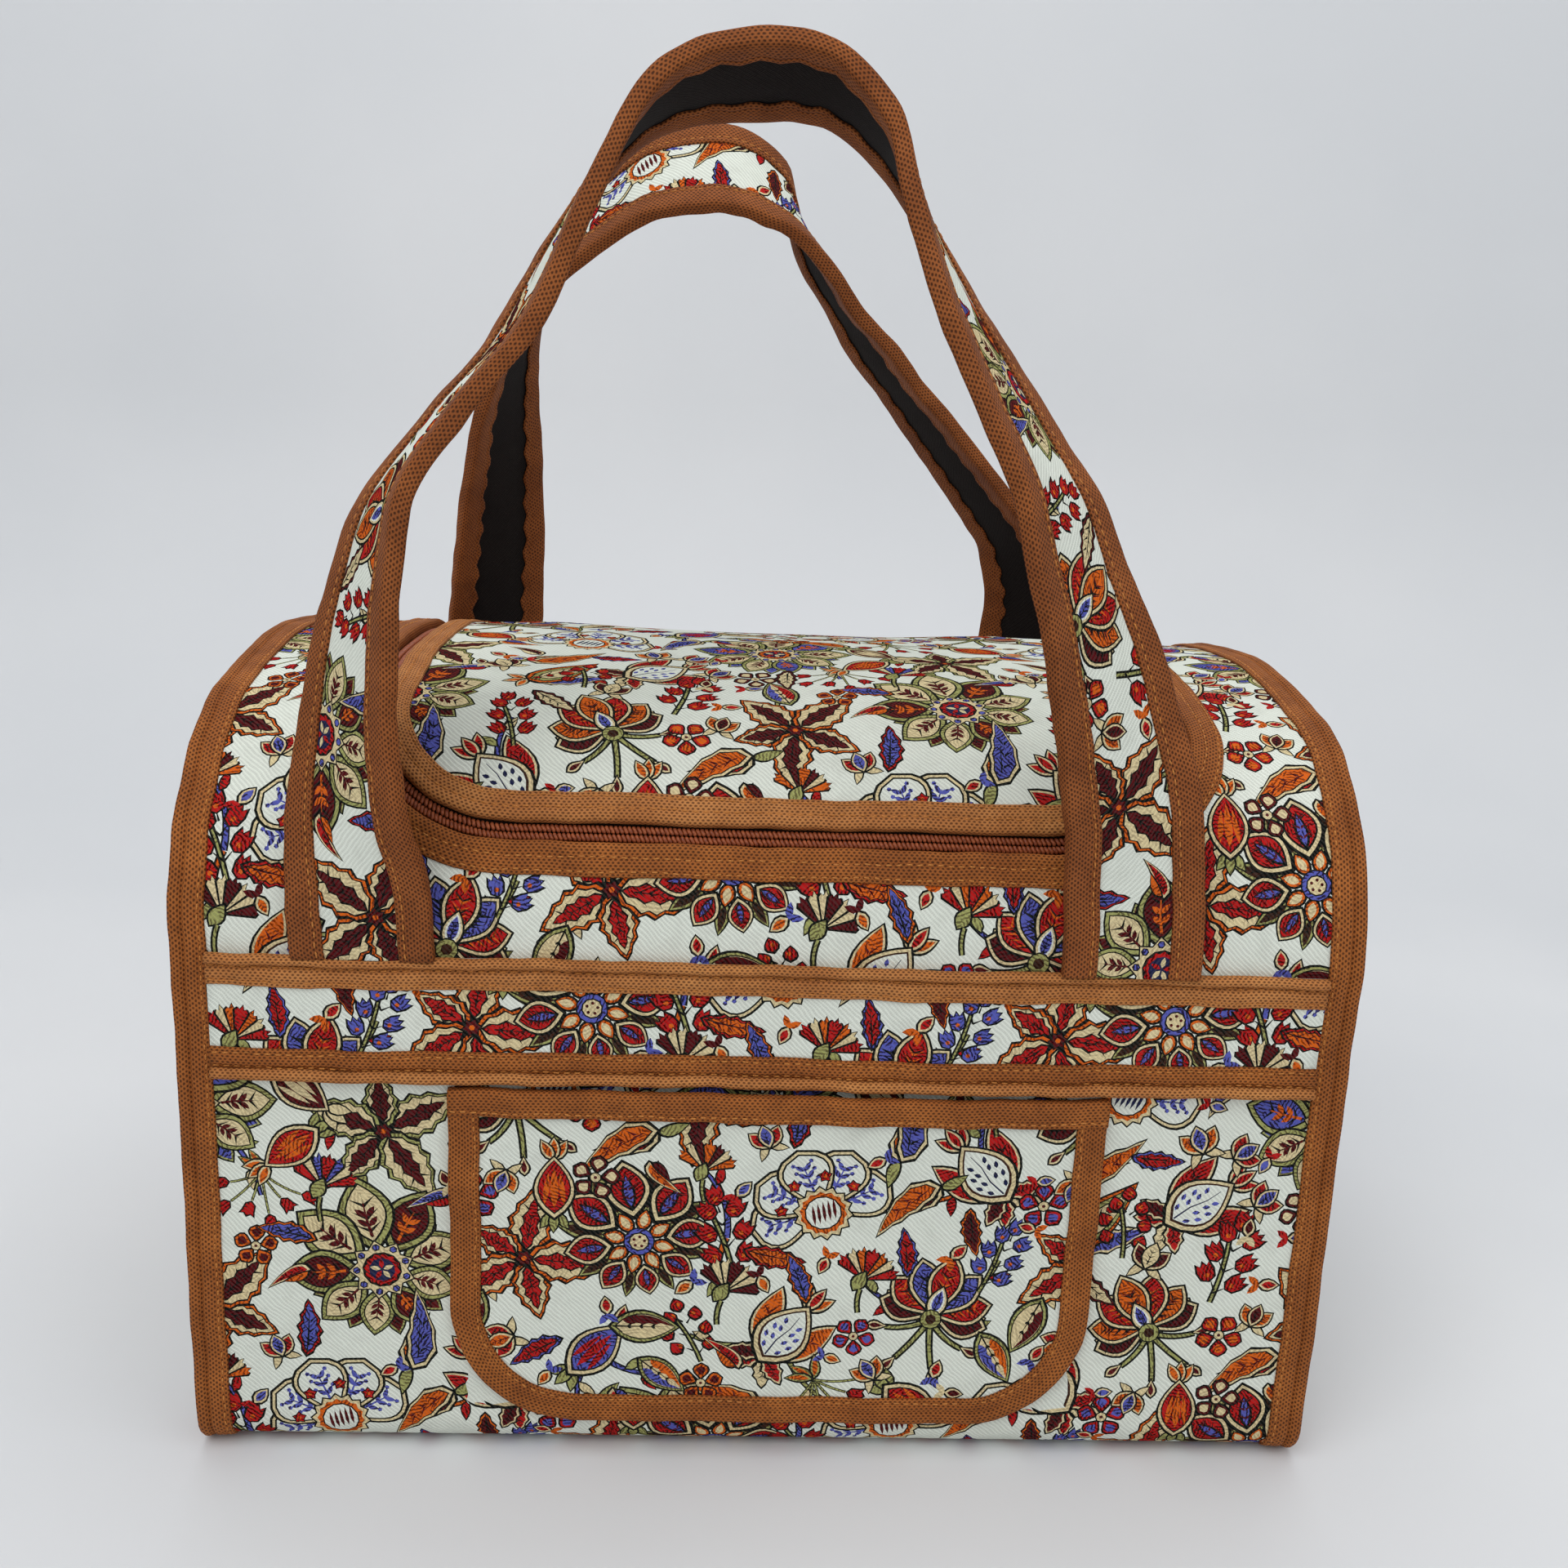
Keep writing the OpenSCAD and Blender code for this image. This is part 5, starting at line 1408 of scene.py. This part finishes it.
pocketTape = {"edge": 10.0, "edgeSeams": (4.4, 8.2), "top": 9.0, "topSeam": 7.0, "over": 0.9, "raise": 0.8}
edgeProfile = lipProfile(pocketTape["edge"], pocketTape["edgeSeams"], patchTop + 0.1, patch["foot"])
piece = sweepPiece("pocket_edge_tape", [tapeRings(pocketPath, edgeProfile, 51, onPocket)], [bindingTape])
edgeRun = lengths(pocketPath[:, :2])[-1]
sewn(piece, "bag", "pocket_edge_binding", flat=(tapeCut["pocket"], edgeRun), slot="binding_tape")
bagRows += [sewnLine(pocketPath, pocketTape["edgeSeams"][1], patchTop + level, 52, onPocket)]
mouthZ, overTop = pocketHigh[2] + pocketTape["raise"], patchTop + pocketTape["over"]
topPath = straight((pocketLow[0] - 1, mouthZ), (pocketHigh[0] + 1, mouthZ), (0, 1))
topProfile = lipProfile(pocketTape["top"], [pocketTape["topSeam"]], overTop, patch["foot"])
piece = sweepPiece("pocket_top_tape", [tapeRings(topPath, topProfile, 53, onPocket)], [bindingTape])
sewn(piece, "bag", "pocket_top_binding", flat=(tapeCut["pocket"], 2 * pocketHalf), slot="binding_tape")
bagRows += [sewnLine(topPath, pocketTape["topSeam"], overTop + level, 54, onPocket)]


# Strap routes from the left end over the crest: shares of half span, lean and rise, then turn in degrees
frontStrap = {"side": -1, "span": 269.0, "rise": 296.0, "lean": 39.0, "mid": -8.5, "lift": 0.36, "route": [
    (-1, 0, 0, 0), (-1.008, -0.03, 0.08, 4), (-1.029, -0.04, 0.166, 25), (-1.028, 0.02, 0.261, 39),
    (-1.011, 0.077, 0.354, 46), (-0.98, 0.15, 0.445, 53), (-0.925, 0.229, 0.534, 58),
    (-0.788, 0.367, 0.624, 58), (-0.63, 0.502, 0.714, 60), (-0.489, 0.68, 0.839, 68),
    (-0.364, 0.884, 0.937, 74), (-0.224, 0.973, 0.984, 79), (-0.031, 1, 1, 90), (0.085, 0.995, 0.997, 95),
    (0.176, 0.965, 0.979, 97), (0.287, 0.845, 0.926, 99), (0.356, 0.664, 0.857, 109),
    (0.427, 0.469, 0.786, 118), (0.484, 0.328, 0.734, 124), (0.59, 0.141, 0.649, 131),
    (0.695, -0.036, 0.564, 136), (0.768, -0.096, 0.476, 141), (0.842, -0.118, 0.386, 149),
    (0.906, -0.092, 0.292, 158), (0.962, -0.057, 0.195, 170), (0.989, 0, 0.094, 177), (1, 0, 0, 180)]}
backStrap = {"side": 1, "span": 275.0, "rise": 286.0, "lean": 107.0, "mid": -3.5, "lift": 1.1, "route": [
    (-1, 0, 0, 0), (-1, 0, 0.09, 4), (-0.99, 0.05, 0.22, 18), (-0.96, 0.15, 0.37, 28),
    (-0.93, 0.3, 0.53, 40), (-0.88, 0.52, 0.69, 56), (-0.74, 0.75, 0.85, 72), (-0.45, 0.95, 0.97, 84),
    (-0.238, 1, 1, 88), (-0.111, 0.995, 0.996, 96), (-0.018, 0.965, 0.976, 103),
    (0.044, 0.927, 0.95, 111), (0.114, 0.842, 0.898, 127), (0.19, 0.749, 0.841, 136),
    (0.296, 0.657, 0.782, 143), (0.401, 0.561, 0.721, 147), (0.526, 0.468, 0.658, 149),
    (0.648, 0.374, 0.592, 150), (0.773, 0.292, 0.524, 151), (0.872, 0.231, 0.467, 151),
    (0.959, 0.176, 0.409, 151), (1.015, 0.12, 0.33, 152), (1.02, 0.06, 0.23, 160), (1.005, 0, 0.1, 176),
    (1, 0, 0, 180)]}
strap = {"edge": 23.4, "tape": 12.0, "layer": 1.4, "gap": 0.1, "puff": 0.9, "steps": 7, "wave": 13.0,
         "waveSize": 1.1, "seam": 4.0, "plump": 1.15, "out": 2.9, "bare": 15}
strapY, strapZ = halfDepth + section["gap"] + strap["out"], bandTop + section["gap"]


def strapFrames(cut):
    # places along a strap, with the directions of its inner edge and of its printed face
    route = np.array(cut["route"], float)
    last = len(route) - 1
    points = []
    for i in range(last):
        p0, p1, p2, p3 = route[max(i - 1, 0)], route[i], route[i + 1], route[min(i + 2, last)]
        for t in np.arange(strap["steps"]) / strap["steps"]:
            points.append(0.5 * (2 * p1 + (p2 - p0) * t + (2 * p0 - 5 * p1 + 4 * p2 - p3) * t * t
                                 + (3 * p1 - p0 - 3 * p2 + p3) * t ** 3))
    points = np.array(points + [route[last]])
    places = np.stack([cut["mid"] + points[:, 0] * cut["span"] / 2,
                       cut["side"] * (strapY - points[:, 1] * cut["lean"]),
                       strapZ + points[:, 2] * cut["rise"]], -1)
    run = np.gradient(places, axis=0)
    run[0], run[-1] = (0, 0, 1), (0, 0, -1)
    run /= np.linalg.norm(run, axis=1)[:, None]
    angle = np.radians(points[:, 3])
    wish = np.stack([np.cos(angle), cut["side"] * np.sin(angle), cut["lift"] * np.sin(angle)], -1)
    edge = wish - (wish * run).sum(1)[:, None] * run
    edge /= np.linalg.norm(edge, axis=1)[:, None]
    return places, edge, -cut["side"] * np.cross(edge, run)


def strapLay(cut):
    frames = strapFrames(cut)
    far = lengths(frames[0])

    def lay(u, v, w):
        u, v, w = np.broadcast_arrays(u, v, w)
        places, edge, face = (pointsAt(u, far, line) for line in frames)
        return places + v[..., None] * edge + w[..., None] * face
    return lay, far[-1]


strapOut = strap["gap"] + strap["layer"]
strapTapeProfile = foldProfile(strap["tape"] - 1.4, 2 * strapOut, [strap["tape"] - strap["seam"]])
strapTapeProfile = strapTapeProfile * (1, strap["plump"])
for cut, name in ((frontStrap, "front"), (backStrap, "back")):
    lay, run = strapLay(cut)
    side = cut["side"]

    def laySheet(facing):
        def place(points, n):
            v = side * facing * points[:, 1]
            puff = strap["puff"] * np.clip(1 - (v / strap["bare"]) ** 2, 0, 1)
            return lay(points[:, 0], v, facing * (strapOut + n + puff))
        return place

    hidden = [(-5, strap["bare"], run + 5, 30), (-5, -30, run + 5, -strap["bare"])]
    outline = rectangle(0, -strap["edge"], run, strap["edge"])
    faceCloth = printedSheet(name + "_handle_cloth", outline, laySheet(1), strap["layer"], bothCloths,
                             (30.0 * side, 66.0 + 30 * side), hidden=hidden, step=6.0)
    sewn(faceCloth, "bag", name + "_handle_face", flat=(2 * strap["edge"], run), held="hung",
         slot="printed_cloth")
    lining = printedSheet(name + "_handle_back", outline, laySheet(-1), strap["layer"],
                          [liningCloth, liningCloth], None, step=6.0)
    sewn(lining, "bag", name + "_handle_lining", flat=(2 * strap["edge"], run), held="hung",
         slot="strap_lining")
    along = np.append(np.arange(0, run, 3.2), run)
    for inner, place in ((1, "inner"), (-1, "outer")):
        a = strapTapeProfile[None, :, 0] + drift(along, 61 + inner + side, 0.25)[:, None]
        n = (strapTapeProfile[None, :, 1] + strapOut) * (1 + drift(along, 65 + inner, 0.04, 30)[:, None])
        wavy = (strapTapeProfile[:, 0] < -4) & (strapTapeProfile[:, 1] < -strapOut)
        a[:, wavy] += (strap["waveSize"] * np.sin(along * 2 * math.pi / strap["wave"] + inner))[:, None]
        rings = lay(along[:, None], inner * (strap["edge"] + a), n)
        # the handle tapes take the binding tape copy with painted shade
        piece = sweepPiece(name + "_handle_" + place + "_tape", [rings], [paintedShadeTape])
        sewn(piece, "bag", name + "_handle_" + place + "_binding", flat=(tapeCut["strap"], run), held="hung",
             slot="binding_tape")
        v = inner * (strap["edge"] - strap["tape"] + strap["seam"] + drift(along, 61 + inner + side, 0.25))
        height = strapOut + strap["plump"] * tape["rise"] - tape["groove"]
        line = lay(along, v, height)
        bagRows.append(stitchRow(line, lay(along, v, height + 1) - line, 67 + inner))

sewn(stitchPiece("bag_stitches", bagRows, stitchThread), "bag", slot="binding_tape")
sewn(stitchPiece("lid_stitches", lidRows, stitchThread), "lid", slot="binding_tape")


# Zip: woven strips with a nylon coil along their edges
zipCut = {"strip": 13.0, "thick": 0.6, "top": -4.6, "split": 0.3, "coil": -3.1, "pitch": 1.6, "inner": 2.0,
          "outer": 4.85, "lean": 0.5, "tailSplit": 0.9, "tailHem": 5.5, "tailShift": 2.5}
coilTurn = {"length": 3.9, "radius": 0.72, "sides": 6}


def stripRings(path, a, b, seed):
    profile = np.array([(a, -zipCut["thick"]), (b, -zipCut["thick"]), (b, 0.0), (a, 0.0)])
    return tapeRings(path, profile, seed, lift=zipCut["top"])


def coilPlaces(path, sign):
    # coil turns along one edge, each leaning a little, as places like those of stitches
    far = lengths(path[:, :2])
    at = np.arange(zipCut["pitch"] / 2, far[-1], zipCut["pitch"])
    x, s, dx, ds = (np.interp(at, far, path[:, k]) for k in range(4))
    middle = sign * (zipCut["inner"] + zipCut["outer"]) / 2
    tip, lean = 0.3, zipCut["lean"]
    mid = onCloth(x + middle * dx, s + middle * ds, zipCut["coil"])
    ahead = onCloth(x + (middle + tip) * dx - lean * ds * tip, s + (middle + tip) * ds + lean * dx * tip,
                    zipCut["coil"])
    above = onCloth(x + middle * dx, s + middle * ds, zipCut["coil"] + 1)
    way = (ahead - mid) / np.linalg.norm(ahead - mid, axis=1)[:, None]
    up = above - mid
    return mid, way, np.cross(up, way), up


zipRun = openPath[openPath[:, 1] < foldS - lid["flare"] + 0.1]
lidStrip = [stripRings(lidPath, zipCut["outer"] - zipCut["strip"], zipCut["outer"] - zipCut["split"], 71)]
piece = sweepPiece("lid_zip_cloth", lidStrip, [zipCloth])
sewn(piece, "lid", "lid_zip_strip", flat=(zipCut["strip"], lidRun), slot="zip_cloth")
piece = stitchPiece("lid_zip_coil", [coilPlaces(lidPath, 1)], zipNylon, coilTurn)
sewn(piece, "lid", "lid_zip_chain", slot="zip_coil")

tails = [straight((end * chainX, foldS + 0.2), (end * chainX, tailEnd), (half, 0))
         for end in (-1, 1) for half in (-1, 1)]
bagStrip = [stripRings(zipRun, zipCut["split"] - zipCut["outer"], zipCut["strip"] - zipCut["outer"], 72)]
bagStrip += [stripRings(tail, zipCut["tailSplit"], lid["tailHalf"] + zipCut["tailHem"], 73) for tail in tails]
piece = sweepPiece("bag_zip_cloth", bagStrip, [zipCloth])
zipLength = lengths(zipRun[:, :2])[-1] + 4 * lid["tail"]
sewn(piece, "bag", "body_zip_strip", flat=(zipCut["strip"], zipLength), slot="zip_cloth")
tailCoils = [tail - np.array([zipCut["tailShift"], 0, 0, 0]) * tail[:, 2:3] for tail in tails]
coilRows = [coilPlaces(zipRun, -1)] + [coilPlaces(tail, 1) for tail in tailCoils]
piece = stitchPiece("bag_zip_coil", coilRows, zipNylon, coilTurn)
sewn(piece, "bag", "body_zip_chain", slot="zip_coil")

# the metal pieces keep their CAD shapes, with rounded edges
metalEdge = {"width": 0.22, "segments": 2}
for name in ("zip_slider", "zip_pull_tab", "zip_stops"):
    metal = bpy.data.objects[name]
    metal.data.materials.clear()
    metal.data.materials.append(zipMetal)
    rounding = metal.modifiers.new("rounding", "BEVEL")
    rounding.width, rounding.segments = metalEdge["width"] * mm, metalEdge["segments"]
    rounding.limit_method = "ANGLE"


# Plain floor that curves up into a backdrop, soft lights and the photo's camera
stageSet = {"near": -2600.0, "cove": 520.0, "radius": 380.0, "half": 3200.0, "top": 3200.0}
angles = np.linspace(0, math.pi / 2, 16)
profile = [(stageSet["near"], 0.0)]
profile += [(stageSet["cove"] + stageSet["radius"] * math.sin(a), stageSet["radius"] * (1 - math.cos(a)))
            for a in angles]
profile += [(stageSet["cove"] + stageSet["radius"], stageSet["top"])]
floorPoints = np.array([(x, y, z) for x in (-stageSet["half"], stageSet["half"]) for y, z in profile])
count = len(profile)
k = np.arange(count - 1)
floorFaces = np.stack([k, k + count, k + count + 1, k + 1], -1)
paleFloor = noiseMaterial("pale_floor", srgb(222, 224, 226), srgb(230, 231, 232), 2.0, 0.7, 0.0, 0.0)
meshPiece("floor", floorPoints, [floorFaces], [paleFloor])

lights = {
    "key": {"place": (-0.7, -1.3, 1.9), "aim": (0, 0, 0.2), "size": 1.8, "power": 21.0},
    "fill": {"place": (1.5, -1.2, 1.1), "aim": (0, 0, 0.2), "size": 2.0, "power": 8.0},
    "top": {"place": (0.1, 0.3, 2.3), "aim": (0, 0, 0.2), "size": 2.0, "power": 16.5}}
for name, light in lights.items():
    lamp = bpy.data.lights.new(name, "AREA")
    lamp.shape, lamp.size, lamp.energy = "DISK", light["size"], light["power"]
    holder = bpy.data.objects.new(name, lamp)
    scene.collection.objects.link(holder)
    holder.location = light["place"]
    aim = Vector(light["aim"]) - Vector(light["place"])
    holder.rotation_euler = aim.to_track_quat("-Z", "Y").to_euler()

world = bpy.data.worlds.new("studio")
world.use_nodes = True
world.node_tree.nodes["Background"].inputs["Color"].default_value = srgb(236, 240, 246)
world.node_tree.nodes["Background"].inputs["Strength"].default_value = 0.4
scene.world = world

view = {"place": (-22.845, -668.424, 397.798), "yaw": 0.0448, "pitch": 0.2482, "roll": 0.0401,
        "focal": 1925.0, "frame": 1920.0}
flatPart = math.cos(view["pitch"])
ahead = Vector((math.sin(view["yaw"]) * flatPart, math.cos(view["yaw"]) * flatPart, -math.sin(view["pitch"])))
right = Vector((math.cos(view["yaw"]), -math.sin(view["yaw"]), 0))
upward = right.cross(ahead)
tilted = right * math.cos(view["roll"]) + upward * math.sin(view["roll"])
upward = upward * math.cos(view["roll"]) - right * math.sin(view["roll"])
lens = bpy.data.cameras.new("photo")
lens.sensor_width, lens.lens = 36.0, 36.0 * view["focal"] / view["frame"]
lens.dof.use_dof = False
lens.clip_start, lens.clip_end = 0.01, 50.0
eye = bpy.data.objects.new("photo", lens)
scene.collection.objects.link(eye)
turnTo = Matrix((tilted, upward, -ahead)).transposed().to_4x4()
eye.matrix_world = Matrix.Translation(Vector(view["place"]) * mm) @ turnTo
scene.camera = eye
